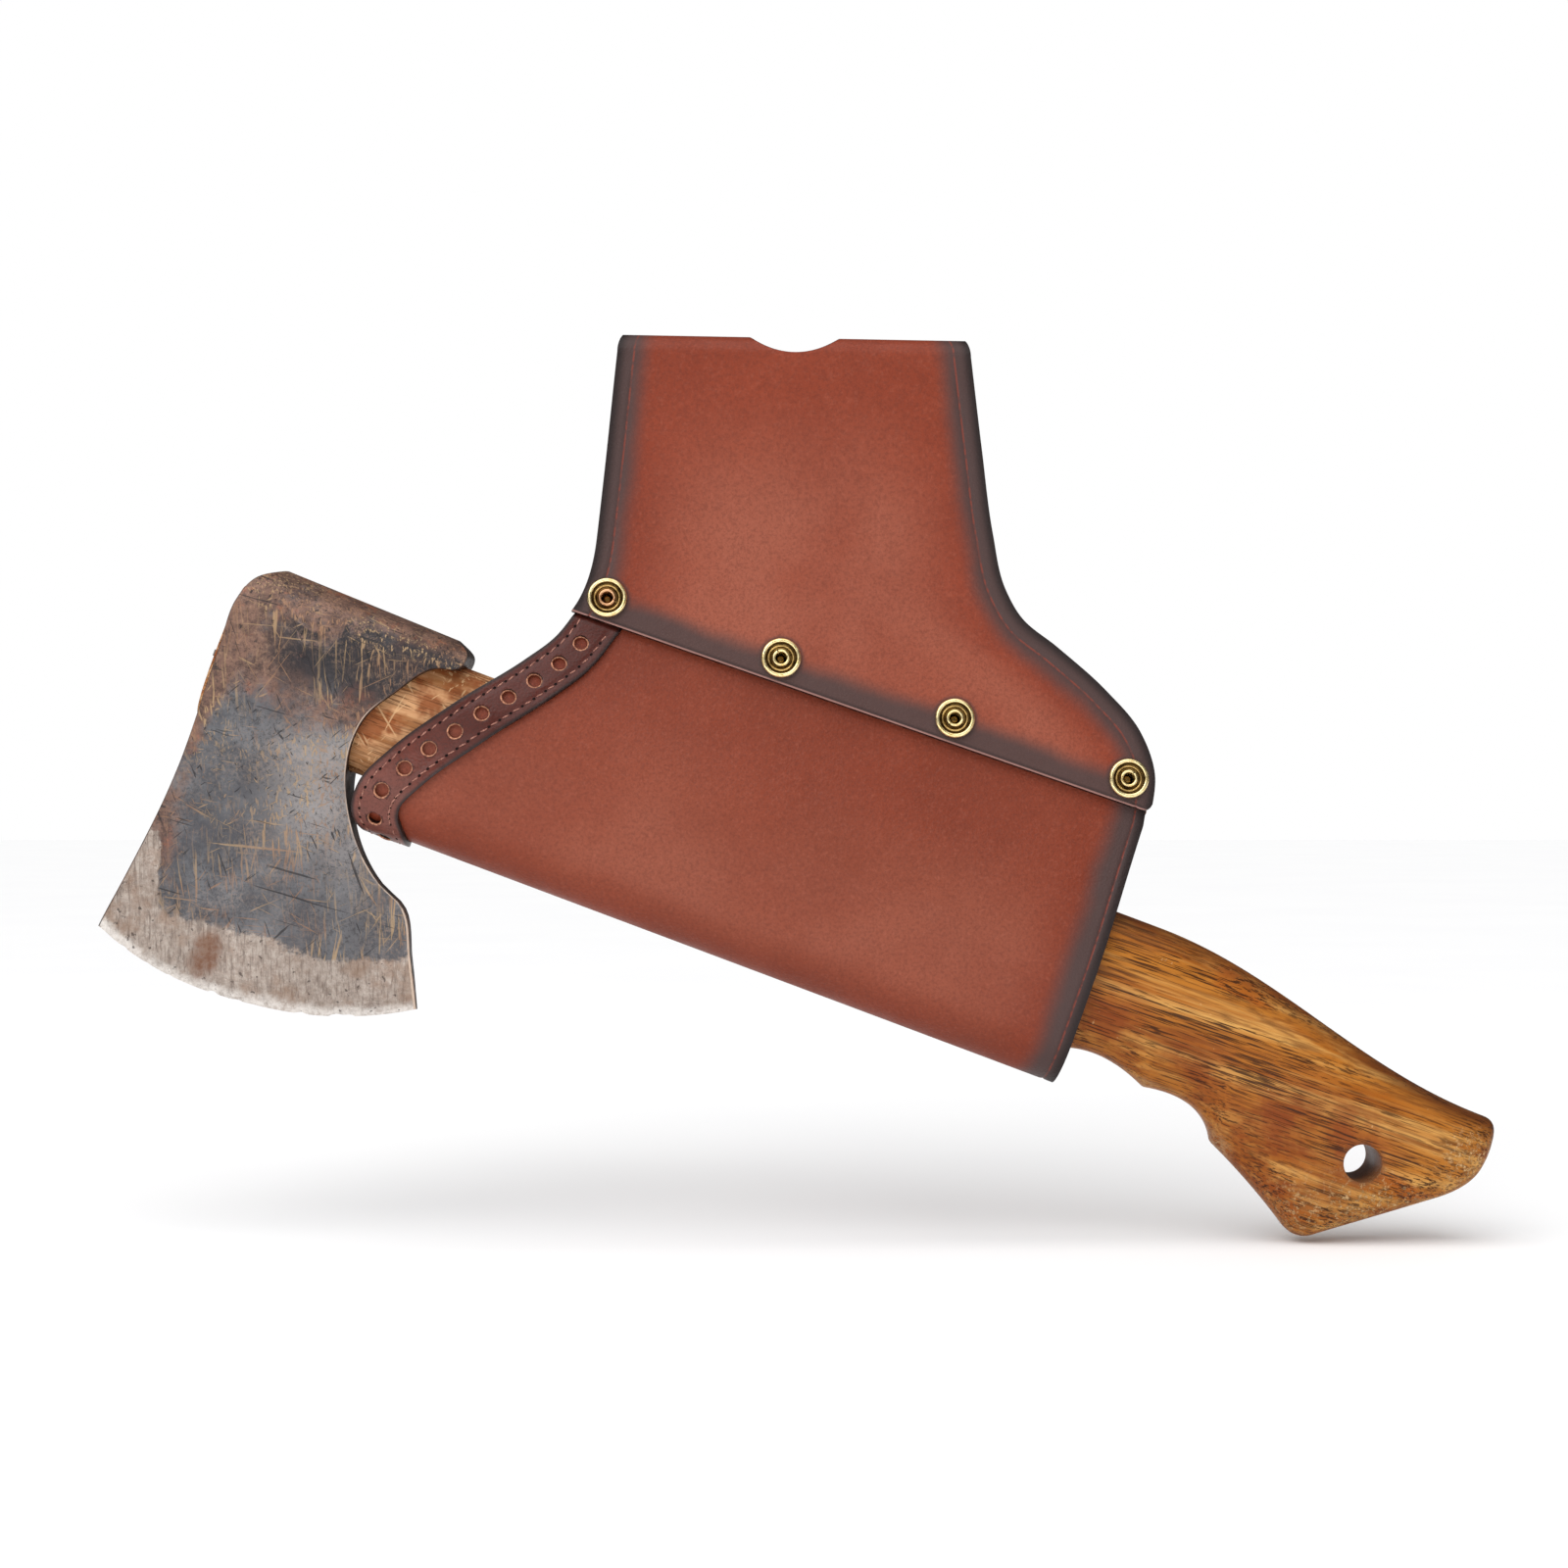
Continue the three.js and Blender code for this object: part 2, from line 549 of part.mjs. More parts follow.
const POLL_TOP = 121.3;
const TOE = new THREE.Vector2(-137.2, 243.6);
const HEEL = new THREE.Vector2(-36.6, 233.2);

const toeSide = readAlong(
  new THREE.SplineCurve([
    new THREE.Vector2(-120.5, POLL_TOP), new THREE.Vector2(-127, 126.5), new THREE.Vector2(-129.8, 135),
    new THREE.Vector2(-129.6, 150), new THREE.Vector2(-129.4, 175), new THREE.Vector2(-131.2, 200),
    new THREE.Vector2(-134.2, 224), TOE,
  ]).getPoints(40),
  "y", "x",
);

const heelSide = readAlong(
  new THREE.SplineCurve([
    new THREE.Vector2(-64, POLL_TOP + 1.6), new THREE.Vector2(-58.9, 126.4), new THREE.Vector2(-59.4, 130.6),
    new THREE.Vector2(-66.6, 133.4), new THREE.Vector2(-75.3, 144.6), new THREE.Vector2(-81, 154.4),
    new THREE.Vector2(-82.3, 163), new THREE.Vector2(-81.2, 172), new THREE.Vector2(-77, 183),
    new THREE.Vector2(-69.4, 193.8), new THREE.Vector2(-60.6, 201), new THREE.Vector2(-51.6, 205.2),
    new THREE.Vector2(-43.4, 219.7), HEEL,
  ]).getPoints(90),
  "y", "x",
);

const headThickness = readAlong(
  [[0, 0.04], [0.006, 0.3], [0.02, 0.53], [0.045, 0.75], [0.08, 0.9], [0.13, 0.98], [0.2, 1], [0.33, 0.96],
    [0.42, 0.82], [0.49, 0.64], [0.56, 0.46], [0.64, 0.33], [0.74, 0.245], [0.86, 0.17], [0.93, 0.12]]
    .map(([x, y]) => new THREE.Vector2(x, y * EYE_HALF_THICKNESS))
    .concat(new THREE.Vector2(1, EDGE_HALF_THICKNESS)),
  "x", "y",
);

/** One row of the head from the toe side to the heel side, out over the front and home over the back. */
function headLoop(level) {
  const lerp = THREE.MathUtils.lerp;
  const downToe = lerp(POLL_TOP, TOE.y, level);
  const downHeel = lerp(POLL_TOP + 1.6, HEEL.y, level);
  const from = toeSide(downToe);
  const to = heelSide(downHeel);
  const columns = 14;
  const front = Array.from({ length: columns + 1 }, (_, i) => {
    const share = i / columns;
    const middle = 1 - Math.abs(2 * share - 1) ** 2.3;
    const down = lerp(downToe, downHeel, share) + EDGE_BELLY * middle * level ** 5;
    const thin = 1 - 0.3 * (1 - middle) * level;
    return { along: lerp(from, to, share), half: headThickness(level) * thin, down };
  });
  const back = front.slice().reverse();
  return [
    ...front.map((p) => new THREE.Vector3(p.along, HAFT_MIDDLE_DEPTH - p.half, -p.down)),
    ...back.map((p) => new THREE.Vector3(p.along, HAFT_MIDDLE_DEPTH + p.half, -p.down)),
  ];
}

function axeHead() {
  const levels = [
    0, 0.006, 0.02, 0.04, 0.06, 0.08, 0.095, 0.11, 0.14, 0.19, 0.25, 0.31, 0.37, 0.43, 0.49, 0.55, 0.6, 0.65, 0.7,
    0.735, 0.76, 0.8, 0.86, 0.91, 0.95, 0.98, 1,
  ];
  const eye = loft(
    [HAFT_START - 20, HAFT_START, -100, -82, -70, -50, -20].map((along) => haftLoop(along, CLEARANCE)),
  );
  return loft(levels.map(headLoop)).subtract(eye);
}

// ---- assembly ----------------------------------------------------------------------------------------------------

const carrier = new THREE.Group();
carrier.rotation.y = SLEEVE_TILT;
carrier.position.set(0, BELT_GAP / 2, LEATHER);

carrier.add(
  piece("back_panel", backPanel(), hide),
  piece("belt_flap", beltFlap(), hide),
  piece("front_wrap", frontWrap(), hide),
  piece("mouth_strap_front", mouthStrapFront(), darkHide),
  piece("mouth_strap_back", mouthStrapBack(), darkHide),
);

for (const i of snapNumbers) {
  const snap = new THREE.Group();
  snap.applyMatrix4(snapPlace(i));
  const parts = { snap_ring: snapRing(), snap_post: snapPost(), snap_stud: snapStud(), stud_rivet: studRivet() };
  for (const [name, geometry] of Object.entries(parts)) {
    snap.add(piece(`${name}_${i + 1}`, solid(geometry), brass));
  }
  carrier.add(snap);
}

const axe = new THREE.Group();
axe.add(
  piece("axe_head", axeHead(), steel),
  piece("haft", haft(), wood),
  piece("eye_wedge", eyeWedge(), paleWood),
  piece("steel_wedge", steelWedgeBody(CLEARANCE), bareSteel),
);
carrier.add(axe);

const object = new THREE.Group();
object.add(carrier);

export default object;
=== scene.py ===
"""A short axe in its leather belt carrier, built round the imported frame.

Sizes are in millimetres and are turned to metres where a mesh is placed. The carrier's leather is cut flat, folded and
wrapped; the axe is forged and carved as two bodies of its own; each finish is a class that makes its own material.
"""

from __future__ import annotations

import json
import logging
import math
from contextlib import contextmanager
from dataclasses import dataclass, field
from enum import Enum
from typing import Callable, Iterator, Sequence

import bpy
import numpy as np
from mathutils import Matrix, Vector, noise

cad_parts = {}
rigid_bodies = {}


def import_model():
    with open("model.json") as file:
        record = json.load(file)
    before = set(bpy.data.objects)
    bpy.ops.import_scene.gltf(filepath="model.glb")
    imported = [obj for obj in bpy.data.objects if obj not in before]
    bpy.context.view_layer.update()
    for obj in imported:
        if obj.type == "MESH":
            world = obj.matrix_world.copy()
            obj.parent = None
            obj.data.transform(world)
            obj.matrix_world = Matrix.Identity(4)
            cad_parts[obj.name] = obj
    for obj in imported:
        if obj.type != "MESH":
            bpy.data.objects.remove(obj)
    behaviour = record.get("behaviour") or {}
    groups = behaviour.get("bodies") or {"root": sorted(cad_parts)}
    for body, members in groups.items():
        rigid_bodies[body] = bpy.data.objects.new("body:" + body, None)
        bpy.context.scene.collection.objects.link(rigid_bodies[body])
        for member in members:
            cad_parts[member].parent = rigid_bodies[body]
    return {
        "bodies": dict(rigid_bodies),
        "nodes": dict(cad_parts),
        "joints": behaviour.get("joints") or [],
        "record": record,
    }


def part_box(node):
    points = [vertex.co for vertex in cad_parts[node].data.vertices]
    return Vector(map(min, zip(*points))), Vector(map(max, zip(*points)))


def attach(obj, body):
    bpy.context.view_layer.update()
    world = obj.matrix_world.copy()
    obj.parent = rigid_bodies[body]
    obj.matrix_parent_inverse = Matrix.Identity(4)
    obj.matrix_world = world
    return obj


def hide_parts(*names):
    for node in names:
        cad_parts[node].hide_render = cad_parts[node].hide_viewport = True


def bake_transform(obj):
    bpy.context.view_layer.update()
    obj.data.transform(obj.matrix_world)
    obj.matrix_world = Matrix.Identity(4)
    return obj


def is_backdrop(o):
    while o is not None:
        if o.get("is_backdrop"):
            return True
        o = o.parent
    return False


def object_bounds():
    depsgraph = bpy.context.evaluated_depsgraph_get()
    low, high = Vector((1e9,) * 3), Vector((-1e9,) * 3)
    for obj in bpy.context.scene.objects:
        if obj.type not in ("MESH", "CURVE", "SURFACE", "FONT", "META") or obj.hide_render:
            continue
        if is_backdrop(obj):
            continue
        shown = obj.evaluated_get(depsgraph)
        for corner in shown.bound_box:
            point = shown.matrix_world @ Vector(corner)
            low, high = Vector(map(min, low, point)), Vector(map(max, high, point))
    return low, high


MM = 0.001
FAR = 99.0  # millimetres to an edge that a panel doesn't have
LOG = logging.getLogger("belt_axe")
Array = np.ndarray
Socket = bpy.types.NodeSocket
Colour = tuple[float, float, float]
Bend = tuple[Vector, Vector]


# ---- curves ----------------------------------------------------------------------------------------------------------


def bezier(*controls: Sequence[float], count: int = 24) -> Array:
    """Points on a quadratic or cubic curve.

    Args:
        controls: three or four control points.
        count: how many points to give.

    Returns:
        The points, one a row.
    """
    t = np.linspace(0.0, 1.0, count)[:, None]
    points = [np.array(control, float) for control in controls]
    while len(points) > 1:
        points = [a * (1 - t) + b * t for a, b in zip(points, points[1:])]
    return points[0]


def smooth_line(points: Sequence[Sequence[float]], per_span: int = 16) -> Array:
    """A smooth line through points, whose bends suit the spans' lengths.

    Args:
        points: the places that the line passes.
        per_span: points to give for each span.

    Returns:
        The points, one a row.
    """
    p = np.array(points, float)
    chord = np.concatenate([[0.0], np.cumsum(np.linalg.norm(np.diff(p, axis=0), axis=1))])
    slope = np.gradient(p, chord, axis=0)
    line = []
    for i in range(len(p) - 1):
        t = np.linspace(0.0, 1.0, per_span, endpoint=False)[:, None]
        step = chord[i + 1] - chord[i]
        line.append(
            (2 * t**3 - 3 * t**2 + 1) * p[i]
            + (t**3 - 2 * t**2 + t) * step * slope[i]
            + (3 * t**2 - 2 * t**3) * p[i + 1]
            + (t**3 - t**2) * step * slope[i + 1]
        )
    return np.vstack([*line, p[-1:]])


def travelled(points: Array) -> Array:
    """How far along a line of points each point is."""
    return np.concatenate([[0.0], np.cumsum(np.linalg.norm(np.diff(points, axis=0), axis=1))])


def evenly(points: Array, count: int) -> Array:
    """A line of points given again with even steps.

    Args:
        points: the line.
        count: how many points to give.

    Returns:
        The new points.
    """
    way = travelled(points)
    places = np.linspace(0.0, way[-1], count)
    return np.stack([np.interp(places, way, points[:, k]) for k in range(points.shape[1])], axis=1)


def eased(value: Array | float, low: float, high: float) -> Array | float:
    """0 below low, 1 above high, and smooth between."""
    t = np.clip((np.asarray(value, float) - low) / (high - low), 0.0, 1.0)
    return t * t * (3 - 2 * t)


# ---- frames ----------------------------------------------------------------------------------------------------------


@dataclass(frozen=True)
class CarrierFrame:
    """Where the carrier's flat patterns lie: upright for the belt part, and slanted for the sleeve and the axe."""

    cosine: float
    sine: float
    belt_gap: float = 6.2
    leather: float = 2.8

    @classmethod
    def from_joints(cls, joints: list[dict]) -> CarrierFrame:
        """Reads the sleeve's slant from the axis that the wrap opens about."""
        axis = next(joint["axis"] for joint in joints if joint["name"] == "wrap_open")
        return cls(cosine=axis[0], sine=-axis[2])

    def upright(self, x: Array | float, depth: Array | float, z: Array | float) -> Array:
        """Places points of the belt part.

        Args:
            x: across the belt part, towards the butt's side.
            depth: towards the wearer, from the back panel's inner face.
            z: up, from the top of the fold.

        Returns:
            The points in metres.
        """
        x, depth, z = np.broadcast_arrays(x, depth, z)
        return np.stack([x, depth + self.belt_gap / 2, z + self.leather], axis=-1) * MM

    def slanted(self, along: Array | float, depth: Array | float, down: Array | float) -> Array:
        """Places points of the sleeve or the axe.

        Args:
            along: the run of the haft, towards the butt.
            depth: towards the wearer, from the back panel's inner face.
            down: the way the cutting edge points.

        Returns:
            The points in metres.
        """
        x = self.cosine * along - self.sine * down
        z = -self.sine * along - self.cosine * down
        return self.upright(x, depth, z)

    def down_of(self, x: Array, z: Array) -> Array:
        """How far down the sleeve an upright place lies."""
        return -self.sine * x - self.cosine * z

    def turn(self) -> Matrix:
        """The turn from the slanted frame's own axes to the upright ones."""
        return Matrix(((self.cosine, 0, self.sine), (0, 1, 0), (-self.sine, 0, self.cosine)))


# ---- workshop tools --------------------------------------------------------------------------------------------------


def deselect() -> None:
    """Leaves edit mode and deselects every object."""
    if bpy.context.object and bpy.context.object.mode != "OBJECT":
        bpy.ops.object.mode_set(mode="OBJECT")
    bpy.ops.object.select_all(action="DESELECT")


def only(piece: bpy.types.Object) -> None:
    """Selects one object and makes it the active one."""
    deselect()
    piece.select_set(True)
    bpy.context.view_layer.objects.active = piece


def named(name: str) -> bpy.types.Object:
    """Names the primitive that was just added."""
    piece = bpy.context.active_object
    piece.name = name
    piece.data.name = name
    return piece


def primitive(name: str, add: Callable[..., set[str]], **sizes: object) -> bpy.types.Object:
    """Adds a primitive with nothing else selected, and names it.

    Args:
        name: the piece's name.
        add: the operator that adds it.
        sizes: the operator's settings.

    Returns:
        The new piece.
    """
    deselect()
    add(**sizes)
    return named(name)


@contextmanager
def editing(piece: bpy.types.Object) -> Iterator[None]:
    """Holds a piece in edit mode, with all of it selected to start with."""
    only(piece)
    bpy.ops.object.mode_set(mode="EDIT")
    bpy.ops.mesh.select_all(action="SELECT")
    yield
    bpy.ops.object.mode_set(mode="OBJECT")


def vertices_of(piece: bpy.types.Object) -> Array:
    """The piece's vertices, one a row."""
    places = np.empty(len(piece.data.vertices) * 3)
    piece.data.vertices.foreach_get("co", places)
    return places.reshape(-1, 3)


def move_vertices(piece: bpy.types.Object, places: Array) -> None:
    """Moves the piece's vertices to new places in metres."""
    piece.data.vertices.foreach_set("co", np.ascontiguousarray(places, float).ravel())
    piece.data.update()


def mark(piece: bpy.types.Object, name: str, values: Array) -> None:
    """Writes one number for each vertex, which finishes read by name."""
    attribute = piece.data.attributes.new(name, "FLOAT", "POINT")
    attribute.data.foreach_set("value", np.ascontiguousarray(values, np.float32).ravel())


def modify(piece: bpy.types.Object, kind: str, **settings: object) -> None:
    """Adds a modifier with its settings and applies it.

    Args:
        piece: the mesh.
        kind: the modifier's type.
        settings: its properties.
    """
    only(piece)
    modifier = piece.modifiers.new(kind.title(), kind)
    for name, value in settings.items():
        setattr(modifier, name, value)
    bpy.ops.object.modifier_apply(modifier=modifier.name)


def carve(piece: bpy.types.Object, cutter: bpy.types.Object) -> None:
    """Cuts one body out of another and throws the cutter away."""
    modify(piece, "BOOLEAN", operation="DIFFERENCE", solver="MANIFOLD", object=cutter)
    bpy.data.objects.remove(cutter, do_unlink=True)


def drill(name: str, sides: int, radius: float, length: float, centre: Array) -> bpy.types.Object:
    """A round cutter that runs through the part from front to back.

    Args:
        name: the cutter's name.
        sides: faces round it.
        radius: its radius in millimetres.
        length: its length in millimetres.
        centre: its middle in metres.

    Returns:
        The cutter.
    """
    bit = primitive(name, bpy.ops.mesh.primitive_cylinder_add, vertices=sides, radius=radius * MM, depth=length * MM)
    return set_down(bit, Matrix.Translation(Vector(centre)) @ Matrix.Rotation(math.pi / 2, 4, "X"))


def soften(piece: bpy.types.Object, width: float, segments: int = 2, angle: float = 40.0) -> None:
    """Rounds a piece's sharp edges and shades it smooth.

    Args:
        piece: the mesh.
        width: the rounding's width in millimetres.
        segments: faces across the rounding.
        angle: edges sharper than this are rounded, in degrees.
    """
    modify(piece, "BEVEL", width=width * MM, segments=segments, limit_method="ANGLE",
           angle_limit=math.radians(angle), use_clamp_overlap=True)
    smooth(piece, angle)


def smooth(piece: bpy.types.Object, angle: float = 40.0) -> None:
    """Shades a piece smooth but for edges sharper than an angle."""
    only(piece)
    bpy.ops.object.shade_smooth_by_angle(angle=math.radians(angle))


def press(piece: bpy.types.Object, count: int) -> None:
    """Presses the tooled lines into a sheet's outer face, as deep as its "press" mark says.

    Args:
        piece: the thickened sheet.
        count: how many of its vertices are on the outer face.
    """
    depth = np.zeros(len(piece.data.vertices), np.float32)
    piece.data.attributes["press"].data.foreach_get("value", depth)
    normals = np.empty(len(piece.data.vertices) * 3)
    piece.data.vertices.foreach_get("normal", normals)
    depth[count:] = 0.0
    move_vertices(piece, vertices_of(piece) - normals.reshape(-1, 3) * depth[:, None])


def sheet_mesh(name: str, surface: Array, marks: dict[str, Array]) -> bpy.types.Object:
    """A flat grid laid on a surface, its rows along the first index.

    Args:
        name: the piece's name.
        surface: places in metres, as rows, columns and coordinates.
        marks: numbers for each place, by name.

    Returns:
        The piece, one layer thick.
    """
    rows, columns, _ = surface.shape
    piece = primitive(name, bpy.ops.mesh.primitive_grid_add, x_subdivisions=columns - 1,
                      y_subdivisions=rows - 1, size=1.0)
    flat = vertices_of(piece)
    column = np.rint((flat[:, 0] + 0.5) * (columns - 1)).astype(int)
    row = np.rint((0.5 - flat[:, 1]) * (rows - 1)).astype(int)
    move_vertices(piece, surface[row, column])
    for label, values in marks.items():
        mark(piece, label, values[row, column])
    return piece


def tube_mesh(name: str, loops: Array, marks: dict[str, Array] | None = None) -> bpy.types.Object:
    """A grid rolled into a tube through loops, with both ends closed.

    Args:
        name: the piece's name.
        loops: places in metres, as loops, places round the loop and coordinates.
        marks: numbers for each place, by name.

    Returns:
        The closed piece.
    """
    closed = np.concatenate([loops, loops[:, :1]], axis=1)
    around = {k: np.concatenate([v, v[:, :1]], axis=1) for k, v in (marks or {}).items()}
    piece = sheet_mesh(name, closed, around)
    with editing(piece):
        bpy.ops.mesh.remove_doubles(threshold=0.001 * MM)
        bpy.ops.mesh.select_all(action="DESELECT")
        bpy.ops.mesh.select_non_manifold()
        bpy.ops.mesh.fill_holes(sides=0)
        bpy.ops.mesh.select_all(action="SELECT")
        bpy.ops.mesh.normals_make_consistent(inside=False)
    return piece


def turned(name: str, profile: Sequence[tuple[float, float]], steps: int = 40) -> bpy.types.Object:
    """A closed (radius, height) outline spun about its height, as on a lathe.

    Args:
        name: the piece's name.
        profile: the outline in millimetres.
        steps: faces round the piece.

    Returns:
        The turned piece, standing at the origin with its height along Z.
    """
    piece = primitive(name, bpy.ops.mesh.primitive_circle_add, vertices=len(profile), radius=1.0, fill_type="NOTHING")
    move_vertices(piece, np.array([(r * MM, 0.0, h * MM) for r, h in profile]))
    with editing(piece):
        bpy.ops.mesh.spin(steps=steps, angle=2 * math.pi, center=(0, 0, 0), axis=(0, 0, 1))
    with editing(piece):
        bpy.ops.mesh.remove_doubles(threshold=0.002 * MM)
        bpy.ops.mesh.delete_loose()
        bpy.ops.mesh.select_all(action="SELECT")
        bpy.ops.mesh.normals_make_consistent(inside=False)
    return piece


def set_down(piece: bpy.types.Object, place: Matrix) -> bpy.types.Object:
    """Puts a piece in its place, in its mesh."""
    piece.data.transform(place)
    piece.data.update()
    return piece


def copy_of(piece: bpy.types.Object, name: str) -> bpy.types.Object:
    """A copy of a piece with a mesh of its own."""
    twin = piece.copy()
    twin.data = piece.data.copy()
    twin.name = name
    twin.data.name = name
    bpy.context.scene.collection.objects.link(twin)
    return twin


def joined(name: str, parts: list[bpy.types.Object]) -> bpy.types.Object:
    """Joins pieces into one mesh under a new name."""
    deselect()
    for part in parts:
        part.select_set(True)
    bpy.context.view_layer.objects.active = parts[0]
    bpy.ops.object.join()
    return named(name)


def dress(piece: bpy.types.Object, *materials: bpy.types.Material) -> None:
    """Gives a piece its materials, one a slot."""
    piece.data.materials.clear()
    for material in materials:
        piece.data.materials.append(material)


def seat(piece: bpy.types.Object, body: str, slot: str, *nodes: str, bend: Bend | None = None) -> None:
    """Ties a finished piece to its body, or only bakes its place into its mesh if it has a bend, and hides the frame's
    nodes it stands for.

    Args:
        piece: the mesh.
        body: the body it rides on.
        slot: the finish slot it belongs to; not used.
        nodes: the frame's nodes it stands for.
        bend: where it starts to bend off the carrier and where it has turned fully, if it does.
    """
    if bend:
        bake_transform(piece)
    else:
        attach(piece, body)
    if nodes:
        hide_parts(*nodes)
    LOG.info("%s rides on %s, %d faces", piece.name, body, len(piece.data.polygons))


# ---- shader bench ----------------------------------------------------------------------------------------------------


def shade(*channels: float) -> tuple[float, ...]:
    """A colour as seen on a screen, 0 to 255 a channel, given in linear light."""
    seen = [channel / 255 for channel in channels]
    return *(c / 12.92 if c <= 0.04045 else ((c + 0.055) / 1.055) ** 2.4 for c in seen), 1.0


class Bench:
    """A material's node tree, with a short call for each kind of node that the finishes use."""

    def __init__(self, name: str) -> None:
        """Starts an empty tree with one shader."""
        self.material = bpy.data.materials.new(name)
        self.material.use_nodes = True
        self.tree = self.material.node_tree
        self.tree.nodes.clear()
        output = self.tree.nodes.new("ShaderNodeOutputMaterial")
        self.shader = self.tree.nodes.new("ShaderNodeBsdfPrincipled")
        self.tree.links.new(self.shader.outputs[0], output.inputs[0])
        self.place = self.tree.nodes.new("ShaderNodeTexCoord").outputs["Object"]

    def feed(self, socket: Socket, value: object) -> None:
        """Links a socket to another, or sets it to a number, vector or colour."""
        if isinstance(value, bpy.types.NodeSocket):
            self.tree.links.new(value, socket)
        else:
            socket.default_value = value

    def mapped(self, frame: CarrierFrame | None, scale: tuple[float, float, float], turn: float = 0.0) -> Socket:
        """Object coordinates turned into the sleeve's slant, then stretched.

        Args:
            frame: whose slant to take, or None to stay upright.
            scale: how much finer the pattern gets along each axis.
            turn: a further turn in the sheet's plane, in degrees.

        Returns:
            The vector.
        """
        node = self.tree.nodes.new("ShaderNodeMapping")
        slant = -math.atan2(frame.sine, frame.cosine) if frame else 0.0
        node.inputs["Rotation"].default_value = (0.0, slant + math.radians(turn), 0.0)
        self.feed(node.inputs["Vector"], self.place)
        stretch = self.tree.nodes.new("ShaderNodeVectorMath")
        stretch.operation = "MULTIPLY"
        self.feed(stretch.inputs[0], node.outputs[0])
        stretch.inputs[1].default_value = scale
        return stretch.outputs[0]

    def noise(self, scale: float, detail: float = 3.0, rough: float = 0.55, vector: Socket | None = None,
              warp: float = 0.0) -> Socket:
        """Cloudy noise from 0 to 1, scale cycles a metre."""
        node = self.tree.nodes.new("ShaderNodeTexNoise")
        self.feed(node.inputs["Vector"], vector or self.place)
        node.inputs["Scale"].default_value = scale
        node.inputs["Detail"].default_value = detail
        node.inputs["Roughness"].default_value = rough
        node.inputs["Distortion"].default_value = warp
        return node.outputs["Fac"]

    def cells(self, scale: float) -> Socket:
        """Distance in a pattern of cells."""
        node = self.tree.nodes.new("ShaderNodeTexVoronoi")
        self.feed(node.inputs["Vector"], self.place)
        node.inputs["Scale"].default_value = scale
        return node.outputs["Distance"]

    def reading(self, name: str) -> Socket:
        """A number that the mesh carries for each vertex."""
        node = self.tree.nodes.new("ShaderNodeAttribute")
        node.attribute_name = name
        return node.outputs["Fac"]

    def sum(self, kind: str, first: object, second: object = 0.0) -> Socket:
        """One step of arithmetic, such as POWER or SQRT."""
        node = self.tree.nodes.new("ShaderNodeMath")
        node.operation = kind
        self.feed(node.inputs[0], first)
        self.feed(node.inputs[1], second)
        return node.outputs[0]

    def times(self, first: object, second: object) -> Socket:
        """One value by another, such as a mask by its strength."""
        return self.sum("MULTIPLY", first, second)

    def plus(self, first: object, second: object) -> Socket:
        """One value and another together."""
        return self.sum("ADD", first, second)

    def minus(self, first: object, second: object) -> Socket:
        """One value less another."""
        return self.sum("SUBTRACT", first, second)

    def ease(self, value: Socket, low: float, high: float, start: float = 0.0, end: float = 1.0) -> Socket:
        """Maps a span smoothly to another and holds beyond its ends."""
        node = self.tree.nodes.new("ShaderNodeMapRange")
        node.interpolation_type = "SMOOTHSTEP"
        self.feed(node.inputs["Value"], value)
        for name, number in zip(("From Min", "From Max", "To Min", "To Max"), (low, high, start, end)):
            node.inputs[name].default_value = number
        return node.outputs["Result"]

    def blend(self, factor: Socket, base: Socket | Colour, over: Socket | Colour) -> Socket:
        """One colour laid over another, each a socket or as seen on a screen."""
        node = self.tree.nodes.new("ShaderNodeMix")
        node.data_type = "RGBA"
        self.feed(node.inputs["Factor"], factor)
        for socket, colour in zip((s for s in node.inputs if s.type == "RGBA"), (base, over)):
            self.feed(socket, shade(*colour) if isinstance(colour, tuple) else colour)
        return next(s for s in node.outputs if s.type == "RGBA")

    def any_of(self, *masks: Socket) -> Socket:
        """The strongest of several masks."""
        total = masks[0]
        for mask in masks[1:]:
            total = self.sum("MAXIMUM", total, mask)
        return total

    def near(self, spot: Array, radius: float, soft: float) -> Socket:
        """1 close to a place in metres, fading to 0 over a soft rim."""
        node = self.tree.nodes.new("ShaderNodeVectorMath")
        node.operation = "DISTANCE"
        self.feed(node.inputs[0], self.place)
        node.inputs[1].default_value = tuple(float(v) for v in spot)
        return self.ease(node.outputs["Value"], (radius - soft) * MM, (radius + soft) * MM, 1.0, 0.0)

    def bump(self, height: Socket, depth: float, under: Socket | None = None) -> Socket:
        """Relief from a height of 0 to 1, depth in millimetres."""
        node = self.tree.nodes.new("ShaderNodeBump")
        node.inputs["Strength"].default_value = 1.0
        node.inputs["Distance"].default_value = depth * MM
        self.feed(node.inputs["Height"], height)
        if under is not None:
            self.feed(node.inputs["Normal"], under)
        return node.outputs["Normal"]

    def done(self, colour: Socket, rough: object, normal: Socket | None = None, metal: object = 0.0,
             gloss: float = 0.5) -> bpy.types.Material:
        """Feeds the shader and gives the material.

        Args:
            colour: base colour.
            rough: roughness.
            normal: relief.
            metal: metallic share.
            gloss: specular level.

        Returns:
            The finished material.
        """
        self.feed(self.shader.inputs["Base Color"], colour)
        self.feed(self.shader.inputs["Roughness"], rough)
        self.feed(self.shader.inputs["Metallic"], metal)
        self.shader.inputs["Specular IOR Level"].default_value = gloss
        if normal is not None:
            self.feed(self.shader.inputs["Normal"], normal)
        return self.material


# ---- leather finishes ------------------------------------------------------------------------------------------------


class Burnish(Enum):
    """How a panel's edges are darkened: the width of the dark band and where the crease runs, in millimetres."""

    PANEL = (4.6, 12.5, 5.2)
    WRAP = (6.0, 14.0, 3.2)

    @property
    def crease(self) -> float:
        """How far in from the edge the crease runs."""
        return self.value[2]


